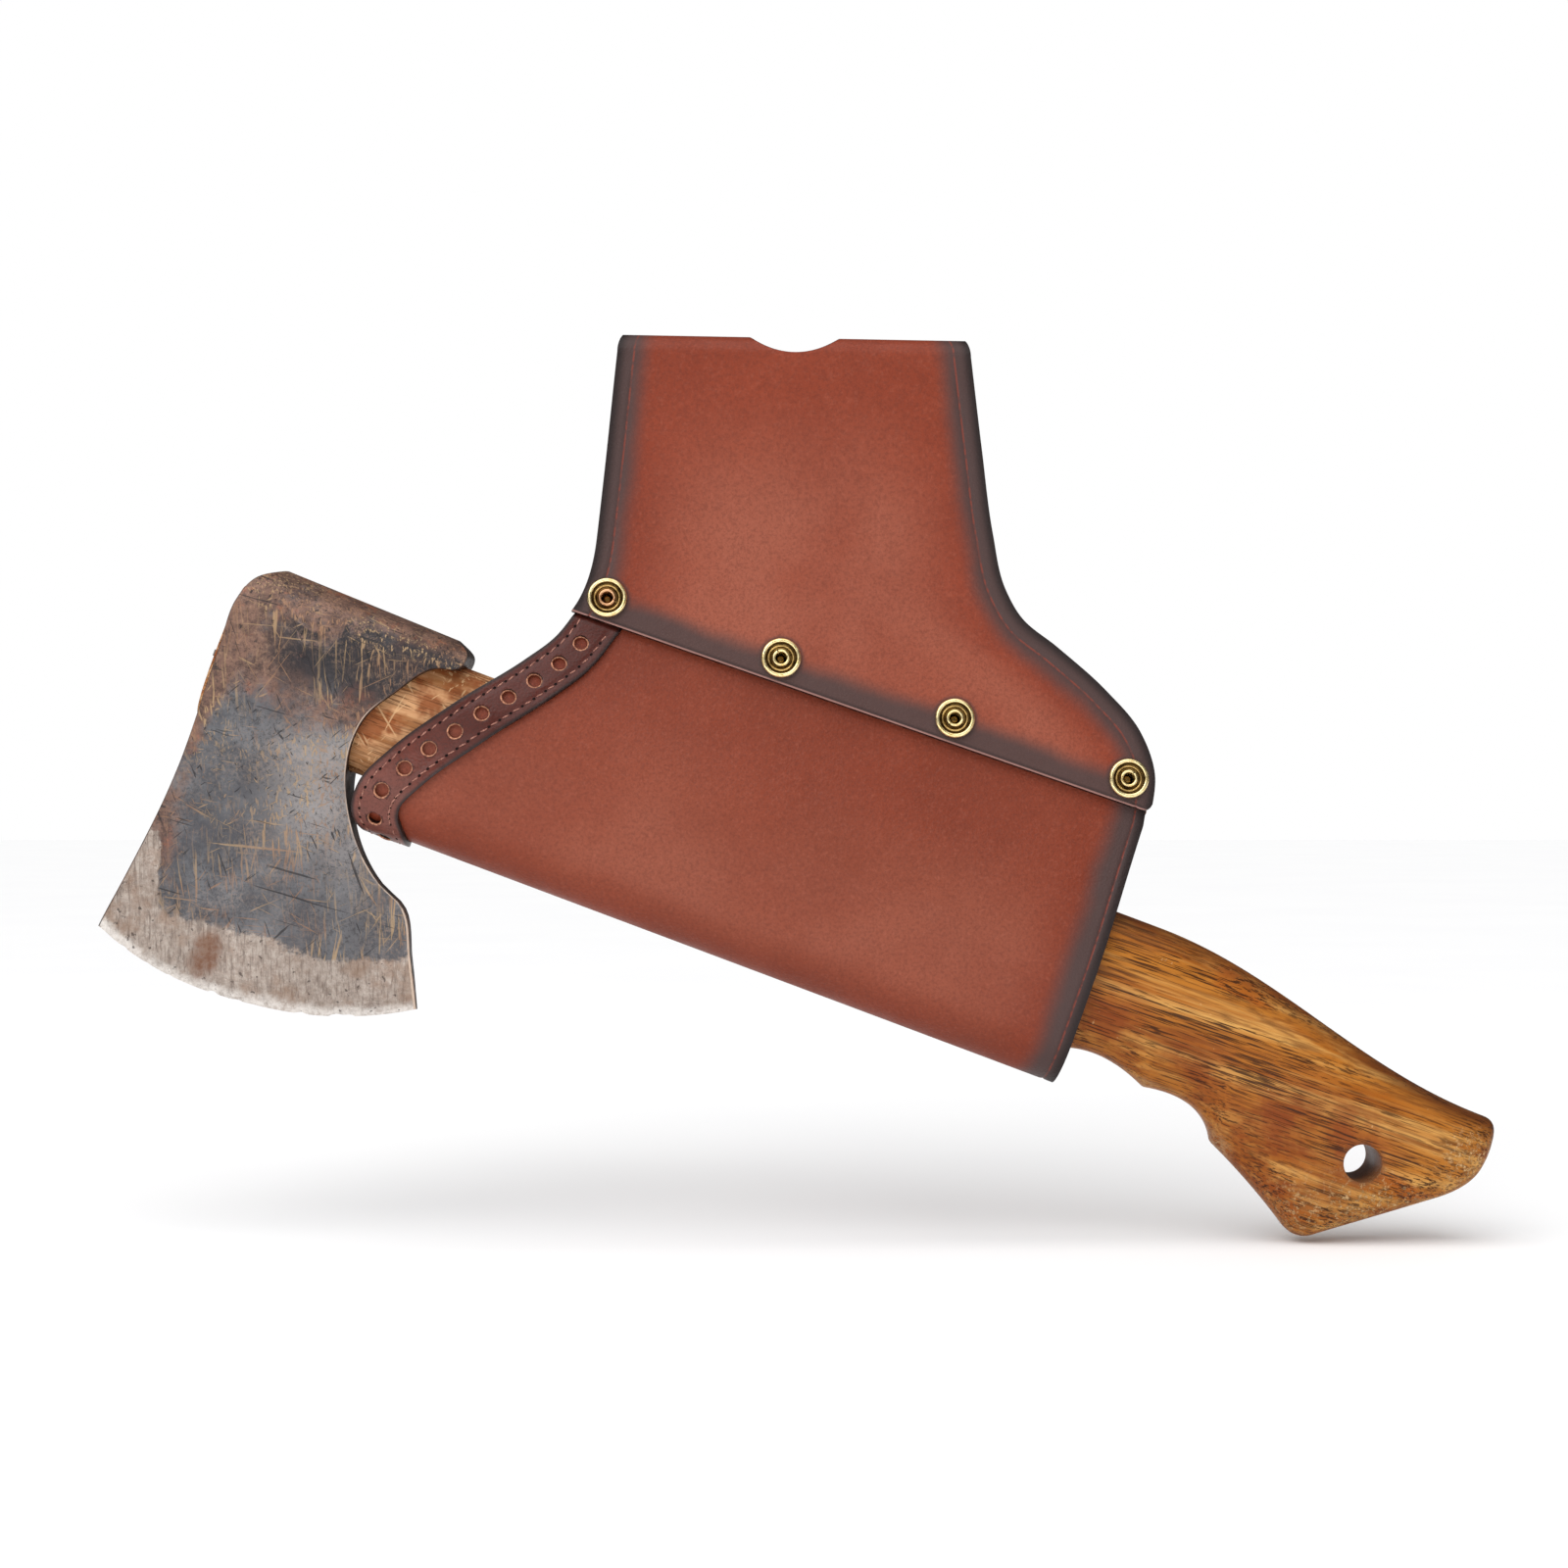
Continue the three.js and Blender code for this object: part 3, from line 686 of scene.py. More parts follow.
@dataclass(frozen=True)
class HideFinish:
    """Russet vegetable-tanned hide with smoked edges, a painted highlight along the flap's cut hem, painted shade round
    the snaps, and a rosier tone that is painted sheen and painted shade on the wrap.
    """

    name: str
    burnish: Burnish
    fittings: tuple[Vector, ...] = ()
    russet: Colour = (134, 56, 33)
    deep: Colour = (120, 47, 26)
    rosy: Colour = (148, 80, 60)
    smoke: Colour = (70, 54, 52)
    edge: Colour = (24, 18, 18)
    crease: Colour = (120, 56, 44)

    def material(self) -> bpy.types.Material:
        """The grain side of the hide."""
        b = Bench(self.name)
        dark_to, fade_to, crease_at = (v * MM for v in self.burnish.value)
        clouds = b.noise(24, 4, 0.6)
        colour = b.blend(b.ease(clouds, 0.25, 0.75), self.deep, self.russet)
        # A rosier tone where the mesh's mark asks for it. On the wrap the mark is painted sheen above the bottom fold,
        # and its fall at the fold's bottom is painted shade.
        rosy_sheen = b.ease(b.noise(17, 3, 0.55, warp=0.4), 0.3, 0.62, 0.5, 1.0)
        colour = b.blend(b.times(b.reading("rosy_sheen"), rosy_sheen), colour, self.rosy)
        speckle = b.noise(1100, 3, 0.75)
        colour = b.blend(b.ease(speckle, 0.4, 0.7, 0.0, 0.42), colour, (90, 38, 26))
        colour = b.blend(b.ease(b.noise(760, 3, 0.7), 0.5, 0.74, 0.0, 0.14), colour, (176, 104, 84))
        wander = b.times(b.noise(55, 2, 0.5), 3.4 * MM)
        side = b.minus(b.plus(b.reading("side"), wander), 1.7 * MM)
        hem = b.minus(b.plus(b.reading("hem"), wander), 1.7 * MM)
        smoke = b.ease(side, dark_to, fade_to, 0.97, 0.0)
        smoke = b.any_of(smoke, b.ease(hem, 4.5 * MM, 11.5 * MM, 0.94, 0.0))
        colour = b.blend(smoke, colour, self.smoke)
        off_crease = b.sum("ABSOLUTE", b.minus(b.reading("side"), crease_at))
        line = b.ease(off_crease, 0.12 * MM, 0.42 * MM, 1.0, 0.0)
        dashes = b.ease(b.noise(520, 1, 0.5), 0.4, 0.56, 0.25, 0.85)
        rim = b.sum("MINIMUM", b.reading("side"), b.times(b.reading("hem"), 2.0))
        colour = b.blend(b.ease(rim, 0.3 * MM, 0.8 * dark_to, 0.85, 0.0), colour, self.edge)
        # A painted highlight: a pale line along the flap's cut hem.
        colour = b.blend(b.ease(b.reading("hem"), 0.15 * MM, 0.75 * MM, 0.85, 0.0), colour, (160, 118, 110))
        colour = b.blend(b.times(line, dashes), colour, self.crease)
        # Painted shade: a dark ring round each snap, where the snap meets the flap.
        if self.fittings:
            painted_snap_shade = b.any_of(*(b.near(spot, 6.9, 0.8) for spot in self.fittings))
            colour = b.blend(b.times(painted_snap_shade, 0.7), colour, self.smoke)
        rough = b.plus(b.ease(b.noise(70, 3, 0.6), 0.3, 0.7, 0.40, 0.52), b.times(speckle, 0.05))
        pores = b.cells(1250)
        relief = b.bump(pores, 0.07)
        relief = b.bump(b.noise(2200, 2, 0.6), 0.05, relief)
        relief = b.bump(b.noise(95, 3, 0.55), 0.4, relief)
        return b.done(colour, rough, relief, gloss=0.22)


@dataclass(frozen=True)
class FleshFinish:
    """The suede back of a hide."""

    name: str = "flesh_side"
    brown: Colour = (112, 70, 52)
    pale: Colour = (142, 96, 74)

    def material(self) -> bpy.types.Material:
        """Matt, fibrous brown."""
        b = Bench(self.name)
        fibre = b.noise(900, 4, 0.75)
        colour = b.blend(b.ease(fibre, 0.35, 0.7), self.brown, self.pale)
        colour = b.blend(b.ease(b.noise(30, 2, 0.5), 0.4, 0.7, 0.0, 0.5), colour, self.brown)
        return b.done(colour, 0.88, b.bump(fibre, 0.16), gloss=0.2)


@dataclass(frozen=True)
class TwoToneFinish:
    """A small surface in two colours, shared out by one noise, with a fine tooth."""

    name: str
    grain: tuple[float, float, float]
    tooth: tuple[float, float, float]
    span: tuple[float, float] | None
    first: Colour
    second: Colour
    rough: float
    depth: float
    gloss: float = 0.5
    metal: float = 0.0

    def material(self) -> bpy.types.Material:
        """Mixes the colours, with a softer change where there is no span, and raises the tooth."""
        b = Bench(self.name)
        share = b.noise(*self.grain)
        if self.span:
            share = b.ease(share, *self.span)
        relief = b.bump(b.noise(*self.tooth), self.depth)
        return b.done(b.blend(share, self.first, self.second), self.rough, relief, self.metal, self.gloss)


BURNISHED_EDGE = TwoToneFinish("burnished_edge", (240, 3, 0.6), (1200, 2, 0.6), (0.5, 0.75), (34, 24, 22), (92, 58, 48),
                               rough=0.38, depth=0.05, gloss=0.45)
WAXED_THREAD = TwoToneFinish("waxed_thread", (2400, 2, 0.6), (2400, 2, 0.6), (0.35, 0.65), (124, 76, 64),
                             (176, 126, 110), rough=0.6, depth=0.06, gloss=0.3)
# The stitch-hole finish is painted shade: near-black discs stand for the shade inside the needle holes.
STITCH_HOLE_SHADE = TwoToneFinish("stitch_hole_shade", (900, 2, 0.5), (1800, 2, 0.5), None, (14, 8, 8), (34, 20, 18),
                            rough=0.85, depth=0.02, gloss=0.1)
PUNCHED_RIM = TwoToneFinish("punched_rim", (1300, 3, 0.7), (1300, 3, 0.7), (0.35, 0.65), (112, 64, 46),
                            (196, 136, 104), rough=0.5, depth=0.1, gloss=0.4)
WEDGE_STEEL = TwoToneFinish("wedge_steel", (500, 4, 0.7), (500, 4, 0.7), (0.5, 0.66), (120, 116, 112), (122, 80, 56),
                            rough=0.5, depth=0.08, metal=0.8)


@dataclass(frozen=True)
class BandFinish:
    """The mouth band's dark chocolate leather."""

    name: str = "chocolate_leather"
    brown: Colour = (112, 52, 40)
    deep: Colour = (88, 38, 28)
    shaded: Colour = (68, 24, 16)
    painted_sheen: Colour = (130, 84, 74)

    def material(self) -> bpy.types.Material:
        """Dark grain side with near-black margins, with painted shade higher up and a painted sheen low down by the
        bottom fold.
        """
        b = Bench(self.name)
        colour = b.blend(b.ease(b.noise(45, 3, 0.6), 0.35, 0.68), self.deep, self.brown)
        # Painted shade darkens the band higher up. A painted sheen greys it low down by the bottom fold.
        colour = b.blend(b.ease(b.reading("down"), 138 * MM, 164 * MM, 0.75, 0.0), colour, self.shaded)
        colour = b.blend(b.ease(b.reading("down"), 152 * MM, 172 * MM, 0.0, 0.4), colour, self.painted_sheen)
        speckle = b.noise(1300, 3, 0.75)
        colour = b.blend(b.ease(speckle, 0.4, 0.7, 0.0, 0.45), colour, (46, 24, 20))
        side = b.reading("side")
        colour = b.blend(b.ease(side, 0.2 * MM, 1.5 * MM, 0.9, 0.0), colour, (26, 18, 18))
        rough = b.ease(b.noise(80, 2, 0.6), 0.3, 0.7, 0.3, 0.44)
        relief = b.bump(b.cells(1350), 0.045)
        relief = b.bump(b.noise(130, 3, 0.55), 0.25, relief)
        return b.done(colour, rough, relief, gloss=0.32)


# ---- metal finishes --------------------------------------------------------------------------------------------------


@dataclass(frozen=True)
class BrassFinish:
    """Snap brass, from bright and rubbed to dark and antiqued."""

    name: str
    bright: Colour
    dull: Colour
    rough: float = 0.24

    def material(self) -> bpy.types.Material:
        """Polished metal with faint tarnish."""
        b = Bench(self.name)
        tarnish = b.noise(420, 4, 0.65)
        colour = b.blend(b.ease(tarnish, 0.42, 0.72), self.bright, self.dull)
        rough = b.ease(b.noise(800, 3, 0.6), 0.3, 0.7, self.rough, self.rough + 0.14)
        return b.done(colour, rough, b.bump(b.noise(1500, 2, 0.6), 0.012), metal=1.0)


@dataclass(frozen=True)
class ForgedFinish:
    """An old forged head: dark scale, rust, scratches and a bare ground edge, with a painted sheen on one cheek and
    painted shade on the side faces.
    """

    name: str = "forged_steel"
    slate: Colour = (70, 70, 75)
    ash: Colour = (110, 110, 113)
    sheen: Colour = (158, 152, 150)
    umber: Colour = (80, 56, 48)
    patina: Colour = (132, 98, 82)
    rust: Colour = (156, 88, 56)
    soot: Colour = (32, 31, 37)
    scratch: Colour = (176, 146, 108)
    bare: Colour = (178, 166, 156)

    def hairs(self, b: Bench, turn: float, across: float, along: float, low: float) -> Socket:
        """Fine straight scratches.

        Args:
            b: the material's bench.
            turn: how far they lean from upright, in degrees.
            across: how fine they are, in cycles a metre.
            along: how short they are, in cycles a metre.
            low: the noise level above which one shows.

        Returns:
            Their mask.
        """
        return b.ease(b.noise(1.0, 2, 0.5, b.mapped(None, (across, across, along), turn), 0.12), low - 0.03, low + 0.02)

    def scale(self, b: Bench, level: Socket, share: Socket) -> Socket:
        """The dark skin over the cheeks, browner towards the poll and the toe side, with a painted sheen towards the
        heel side.
        """
        colour = b.blend(b.ease(b.noise(55, 5, 0.7), 0.36, 0.7), self.slate, self.ash)
        # Painted reflection: a lighter sheen across the middle of the heel side.
        near_heel = b.times(b.ease(share, 0.3, 0.85), b.ease(level, 0.26, 0.4))
        near_heel = b.times(near_heel, b.ease(level, 0.5, 0.8, 1.0, 0.15))
        near_heel = b.times(near_heel, b.ease(b.noise(40, 3, 0.6), 0.3, 0.6, 0.35, 1.0))
        colour = b.blend(b.times(near_heel, 0.75), colour, self.sheen)
        high = b.ease(level, 0.24, 0.5, 0.3, 0.0)
        aside = b.ease(share, 0.03, 0.2, 0.28, 0.0)
        brown_at = b.plus(b.noise(30, 6, 0.75), b.plus(high, aside))
        brown_at = b.ease(brown_at, 0.6, 0.82)
        brown = b.blend(b.ease(b.noise(170, 5, 0.75), 0.34, 0.66), self.umber, self.patina)
        brown = b.blend(b.ease(b.noise(75, 5, 0.7), 0.54, 0.66, 0.0, 0.8), brown, self.rust)
        colour = b.blend(b.times(brown_at, 0.94), colour, brown)
        band = b.times(b.ease(level, 0.03, 0.07), b.ease(level, 0.2, 0.3, 1.0, 0.0))
        band = b.times(band, b.ease(share, 0.12, 0.4))
        heel_end = b.times(b.ease(share, 0.5, 0.8, 0.0, 0.3), b.ease(level, 0.02, 0.05))
        ragged = b.noise(1.0, 5, 0.75, b.mapped(None, (60, 60, 34), 0.0), 0.5)
        soot = b.times(b.ease(b.plus(ragged, heel_end), 0.46, 0.54), band)
        return b.blend(b.times(soot, 0.92), colour, self.soot)

    def marked(self, b: Bench, colour: Socket, level: Socket) -> tuple[Socket, Socket]:
        """Scratches, flakes and pits over the skin.

        Args:
            b: the material's bench.
            colour: the skin's colour.
            level: from poll to edge.

        Returns:
            The marked colour and the scratches' mask.
        """
        zone = b.ease(b.noise(27, 3, 0.55), 0.36, 0.56, 0.15, 1.0)
        upright = b.any_of(*(self.hairs(b, *family) for family in (
            (0, 820, 15, 0.66), (3, 980, 22, 0.66), (-5, 760, 11, 0.67), (8, 1090, 28, 0.67), (-11, 960, 30, 0.68),
        )))
        aslant = b.any_of(*(self.hairs(b, *family) for family in (
            (31, 1180, 34, 0.71), (-38, 1150, 30, 0.71), (62, 1190, 34, 0.71), (-66, 1160, 36, 0.71),
            (84, 1100, 26, 0.7),
        )))
        rubbed = b.noise(1.0, 4, 0.75, b.mapped(None, (760, 760, 45), 2), 0.2)
        patch = b.ease(b.noise(30, 3, 0.5), 0.46, 0.6)
        rubbed = b.times(b.ease(rubbed, 0.61, 0.67), patch)
        flakes = b.times(b.ease(b.noise(560, 5, 0.8), 0.57, 0.66), b.ease(b.noise(33, 3, 0.6), 0.46, 0.62))
        upright = b.times(upright, zone)
        light = b.any_of(upright, b.times(aslant, 0.8), b.times(rubbed, 0.65),
                         b.times(flakes, 0.7))
        tint = b.blend(b.ease(b.noise(60, 2, 0.5), 0.4, 0.6), self.scratch, (150, 112, 84))
        specks = b.noise(820, 5, 0.85)
        worn = b.times(b.ease(specks, 0.36, 0.52, 1.0, 0.0), b.ease(b.noise(52, 3, 0.6), 0.38, 0.6))
        colour = b.blend(b.times(worn, 0.3), colour, (172, 140, 114))
        grime = b.times(b.ease(specks, 0.5, 0.62), b.ease(b.noise(48, 3, 0.6), 0.36, 0.6, 0.35, 1.0))
        colour = b.blend(b.times(grime, 0.6), colour, (34, 30, 31))
        colour = b.blend(b.times(light, 0.7), colour, tint)
        gouges = b.any_of(*(self.hairs(b, *family) for family in (
            (20, 1080, 26, 0.705), (-52, 1120, 28, 0.705), (74, 1000, 24, 0.705),
        )))
        pits = b.noise(1.0, 5, 0.8, b.mapped(None, (420, 420, 300), 0), 0.3)
        pits = b.times(b.ease(pits, 0.59, 0.65), b.ease(level, 0.15, 0.5, 1.0, 0.35))
        dark = b.any_of(gouges, pits)
        colour = b.blend(b.times(dark, 0.8), colour, (30, 27, 29))
        return colour, b.any_of(light, dark)

    def ground(self, b: Bench, level: Socket, share: Socket, shore: Socket) -> Socket:
        """The bare steel behind the cutting edge."""
        mottle = b.noise(360, 5, 0.8)
        brushed = b.noise(1.0, 3, 0.7, b.mapped(None, (1300, 1300, 110), 0))
        bare = b.blend(b.ease(mottle, 0.3, 0.7), (136, 121, 111), self.bare)
        bare = b.blend(b.ease(brushed, 0.48, 0.66, 0.0, 0.6), bare, (98, 84, 76))
        bare = b.blend(b.ease(b.noise(70, 4, 0.7), 0.46, 0.64, 0.0, 0.6), bare, (136, 110, 92))
        keen = b.ease(b.plus(level, b.times(shore, 0.3)), 0.972, 0.995)
        bare = b.blend(b.times(keen, b.ease(mottle, 0.3, 0.6, 0.3, 0.8)), bare, (236, 230, 224))
        off_share = b.sum("POWER", b.sum("ABSOLUTE", b.minus(share, 0.345)), 2.0)
        off_level = b.sum("POWER", b.sum("ABSOLUTE", b.minus(level, 0.935)), 2.0)
        away = b.sum("SQRT", b.plus(off_share, off_level))
        away = b.plus(away, b.times(b.noise(150, 4, 0.7), 0.07))
        bloom = b.times(b.ease(away, 0.06, 0.1, 0.9, 0.0), b.ease(mottle, 0.35, 0.6, 0.35, 1.0))
        bare = b.blend(bloom, bare, (112, 74, 54))
        nicks = b.ease(b.noise(480, 3, 0.6), 0.64, 0.69)
        return b.blend(b.times(nicks, 0.75), bare, (62, 50, 46))

    def material(self) -> bpy.types.Material:
        """Reads level, from poll to edge, and share, from toe side to heel side."""
        b = Bench(self.name)
        level = b.reading("level")
        share = b.reading("share")
        colour, scored = self.marked(b, self.scale(b, level, share), level)
        shore = b.times(b.minus(b.noise(60, 5, 0.7), 0.5), 0.11)
        shore = b.plus(shore, b.times(b.minus(b.noise(420, 3, 0.6), 0.5), 0.03))
        climb = b.ease(share, 0.02, 0.17, 0.16, 0.0)
        bevel = b.ease(b.plus(b.plus(level, shore), climb), 0.872, 0.886)
        colour = b.blend(bevel, colour, self.ground(b, level, share, shore))
        rim = b.times(b.ease(share, 0.9885, 0.992), b.ease(level, 0.2, 0.3))
        rim = b.times(rim, b.ease(b.noise(90, 3, 0.6), 0.32, 0.5, 0.25, 0.85))
        colour = b.blend(rim, colour, (198, 176, 158))
        # Painted shade over the thin side faces: near black with brown flecks.
        side_face = b.any_of(b.ease(share, 0.9955, 0.9985), b.ease(share, 0.0045, 0.0015))
        side_shade = b.blend(b.ease(b.noise(200, 4, 0.7), 0.4, 0.62), (34, 29, 30), (84, 60, 50))
        colour = b.blend(b.times(side_face, 0.95), colour, side_shade)
        metal = b.plus(b.times(bevel, 0.4), 0.35)
        rough = b.minus(b.ease(b.noise(90, 4, 0.7), 0.3, 0.7, 0.38, 0.58), b.times(bevel, 0.08))
        relief = b.bump(b.times(scored, -1.0), 0.06)
        relief = b.bump(b.noise(260, 5, 0.7), 0.2, relief)
        relief = b.bump(b.noise(60, 3, 0.5), 0.45, relief)
        relief = b.bump(b.times(bevel, -1.0), 0.08, relief)
        return b.done(colour, rough, relief, metal=metal)


# ---- wood finishes ---------------------------------------------------------------------------------------------------


@dataclass(frozen=True)
class HaftFinish:
    """Oiled hickory, open-pored, with scuffs where it is handled."""

    frame: CarrierFrame
    name: str = "oiled_hickory"
    golden: Colour = (202, 150, 80)
    honey: Colour = (170, 106, 36)
    umber: Colour = (142, 74, 12)
    amber: Colour = (150, 72, 10)
    pore: Colour = (50, 24, 9)
    scuff: Colour = (216, 176, 124)
    raw: Colour = (206, 156, 112)

    def at(self, along: float, down: float, depth: float = -18.0) -> Array:
        """A place on the haft's near side, in metres."""
        return self.frame.slanted(np.array(along), np.array(depth), np.array(down))

    def grain(self, b: Bench, along: float, across: float, turn: float = 1.2, detail: float = 3.0,
              warp: float = 0.0) -> Socket:
        """Noise drawn out along the haft, in cycles a metre along and across it."""
        return b.noise(1.0, detail, 0.6, b.mapped(self.frame, (along, across, across * 1.15), turn), warp)

    def stained(self, b: Bench) -> Socket:
        """The oiled wood: gold with honey and umber bands, and dark handling stains."""
        colour = b.blend(b.ease(self.grain(b, 6, 74, 1.5, 4, 0.3), 0.32, 0.6), self.umber, self.honey)
        colour = b.blend(b.ease(self.grain(b, 9, 230, 2.0, 4, 0.2), 0.42, 0.7), colour, self.golden)
        fine = b.ease(self.grain(b, 40, 700), 0.46, 0.66, 0.0, 0.55)
        colour = b.blend(fine, colour, (96, 48, 14))
        colour = b.blend(b.ease(self.grain(b, 26, 62, 0.0), 0.56, 0.72, 0.0, 0.75), colour, self.amber)
        stain = b.any_of(b.near(self.at(222, 181), 22, 12), b.near(self.at(160, 168), 16, 10),
                         b.near(self.at(242, 171), 13, 9), b.near(self.at(190, 172), 14, 10))
        stain = b.times(stain, b.ease(b.noise(62, 4, 0.65), 0.3, 0.58, 0.2, 0.85))
        colour = b.blend(stain, colour, (120, 52, 14))
        # Darker along the top edge.
        crown = b.times(b.ease(b.reading("crown"), 1.0 * MM, 7.5 * MM, 0.88, 0.0),
                      b.ease(self.grain(b, 14, 60), 0.3, 0.55, 0.65, 1.0))
        return b.blend(crown, colour, (88, 44, 16))

    def pores(self, b: Bench) -> Socket:
        """Short dark streaks where the vessels are cut open."""
        streaks = b.any_of(b.ease(self.grain(b, 60, 1900, 1.2, 2), 0.565, 0.61),
                           b.ease(self.grain(b, 44, 1400, 1.6, 2), 0.59, 0.64))
        return b.times(streaks, b.ease(self.grain(b, 11, 90, 1.2, 2), 0.34, 0.58, 0.2, 1.0))

    def raw_wood(self, b: Bench, pores: Socket) -> Socket:
        """The paler, scuffed wood by the eye."""
        pale = b.blend(b.ease(self.grain(b, 50, 300, 3.0), 0.35, 0.65), (156, 102, 60), self.raw)
        pale = b.blend(b.ease(b.noise(58, 4, 0.65), 0.5, 0.62, 0.0, 0.85), pale, (138, 72, 34))
        pale = b.blend(b.times(pores, 0.75), pale, (84, 46, 22))
        knife = b.any_of(*(self.cuts(b, turn, across) for turn, across in ((62, 760), (-38, 820), (80, 900))))
        return b.blend(b.times(knife, 0.6), pale, (220, 180, 134))

    def cuts(self, b: Bench, turn: float, across: float) -> Socket:
        """Fine straight cuts that lean one way."""
        lines = b.noise(1.0, 1, 0.5, b.mapped(self.frame, (28, across, across), turn))
        return b.ease(lines, 0.67, 0.71)

    def rubbed(self, b: Bench) -> Socket:
        """Pale flecks round the lanyard hole, on the butt's corner and at the tip."""
        flecks = b.ease(b.noise(620, 5, 0.8), 0.52, 0.62)
        places = b.any_of(b.near(self.at(254, 188), 10, 9), b.near(self.at(281, 164), 8, 7),
                          b.near(self.at(263, 187), 8, 7), b.times(b.near(self.at(238, 197), 10, 9), 0.6))
        return b.times(places, flecks)

    def material(self) -> bpy.types.Material:
        """Grain runs along the haft; stains and scuffs keep to their places."""
        b = Bench(self.name)
        pores = self.pores(b)
        colour = b.blend(b.times(pores, 0.9), self.stained(b), self.pore)
        eye = b.ease(b.reading("along"), -56.0 * MM, -30.0 * MM, 1.0, 0.0)
        colour = b.blend(eye, colour, self.raw_wood(b, pores))
        rubbed = self.rubbed(b)
        dings = b.times(b.ease(b.noise(330, 3, 0.6), 0.7, 0.74), 0.35)
        colour = b.blend(b.any_of(rubbed, dings), colour, self.scuff)
        cusps = b.any_of(b.near(self.at(179.9, 179, -12), 4, 3), b.near(self.at(205.8, 188, -12), 5, 3))
        cusps = b.times(cusps, b.ease(b.noise(520, 3, 0.7), 0.38, 0.6))
        colour = b.blend(cusps, colour, (168, 128, 86))
        bore = b.times(b.near(self.at(248.9, 175.2, -17.5), 6.9, 1.2), b.ease(b.noise(240, 3, 0.7), 0.3, 0.6))
        colour = b.blend(b.times(bore, 0.8), colour, (104, 62, 34))
        worn = b.ease(b.reading("belly"), 0.0, 1.4 * MM, 0.45, 0.0)
        colour = b.blend(worn, colour, (150, 98, 58))
        rough = b.ease(b.noise(60, 3, 0.6), 0.3, 0.7, 0.34, 0.48)
        rough = b.plus(rough, b.times(b.any_of(rubbed, eye), 0.2))
        relief = b.bump(b.times(pores, -1.0), 0.1)
        relief = b.bump(b.times(b.any_of(rubbed, cusps), -1.0), 0.16, relief)
        relief = b.bump(self.grain(b, 60, 900), 0.05, relief)
        relief = b.bump(b.noise(110, 3, 0.5), 0.3, relief)
        return b.done(colour, rough, relief, gloss=0.16)


@dataclass(frozen=True)
class EndGrainFinish:
    """The sawn end of the wooden eye wedge."""

    frame: CarrierFrame
    name: str = "end_grain"

    def material(self) -> bpy.types.Material:
        """Pale with rings and dark pores."""
        b = Bench(self.name)
        rings = b.noise(1.0, 3, 0.6, b.mapped(self.frame, (300, 900, 90)), 0.4)
        colour = b.blend(b.ease(rings, 0.35, 0.65), (150, 104, 62), (206, 164, 112))
        pores = b.ease(b.cells(1500), 0.1, 0.24, 1.0, 0.0)
        colour = b.blend(b.times(pores, 0.6), colour, (96, 60, 32))
        return b.done(colour, 0.75, b.bump(rings, 0.1), gloss=0.25)


# ---- the carrier's patterns ------------------------------------------------------------------------------------------


@dataclass
class Panel:
    """A flat pattern: rows of places across the leather, with how far each is from the side edges."""

    places: Array
    side: Array


@dataclass
class Cutting:
    """How a pattern is gridded: fine along its sides, so that the crease and the smoked edge follow them."""

    margins: tuple[float, ...] = (0.0, 0.35, 0.9, 1.8, 2.7, 3.2, 3.7, 4.4, 4.85, 5.2, 5.55, 6.1, 7.5, 9.5, 12.0)
    middle: int = 52
    ends: int = 9

    def panel(self, left: Array, right: Array, square_left: bool = False, square_right: bool = False) -> Panel:
        """Rules rows between two edges.

        Args:
            left: the left edge, one place a row.
            right: the right edge, one place a row.
            square_left: whether the left margin follows the rows and not the edge's own normal.
            square_right: the same for the right margin.

        Returns:
            The ruled pattern.
        """
        rows = len(left)
        row_way = right - left
        row_way /= np.linalg.norm(row_way, axis=1, keepdims=True)
        index = np.arange(rows)
        hold = 1 - eased(np.minimum(index, rows - 1 - index), 0, self.ends)
        margin = np.array(self.margins)

        def edge_band(edge: Array, sign: float, square: bool) -> tuple[Array, Array]:
            """Places in from one edge, and their true distance from it."""
            tangent = np.gradient(edge, axis=0)
            tangent /= np.linalg.norm(tangent, axis=1, keepdims=True)
            normal = np.stack([-tangent[:, 1], tangent[:, 0]], axis=1)
            normal *= np.sign((normal * row_way * sign).sum(axis=1, keepdims=True))
            blend = np.ones(rows) if square else hold
            way = normal * (1 - blend[:, None]) + row_way * sign * blend[:, None]
            way /= np.linalg.norm(way, axis=1, keepdims=True)
            straight = (way * normal).sum(axis=1)
            return edge[:, None] + way[:, None] * margin[None, :, None], straight[:, None] * margin

        near_left, left_away = edge_band(left, 1.0, square_left)
        near_right, right_away = edge_band(right, -1.0, square_right)
        t = np.linspace(0.0, 1.0, self.middle + 2)[1:-1]
        inner_left, inner_right = near_left[:, -1:], near_right[:, -1:]
        between = inner_left * (1 - t[None, :, None]) + inner_right * t[None, :, None]
        span = np.linalg.norm(inner_right - inner_left, axis=2)
        away = margin[-1] + span * np.minimum(t, 1 - t)[None, :]
        places = np.concatenate([near_left, between, near_right[:, ::-1]], axis=1)
        side = np.concatenate([left_away, away, right_away[:, ::-1]], axis=1)
        return Panel(places, side)


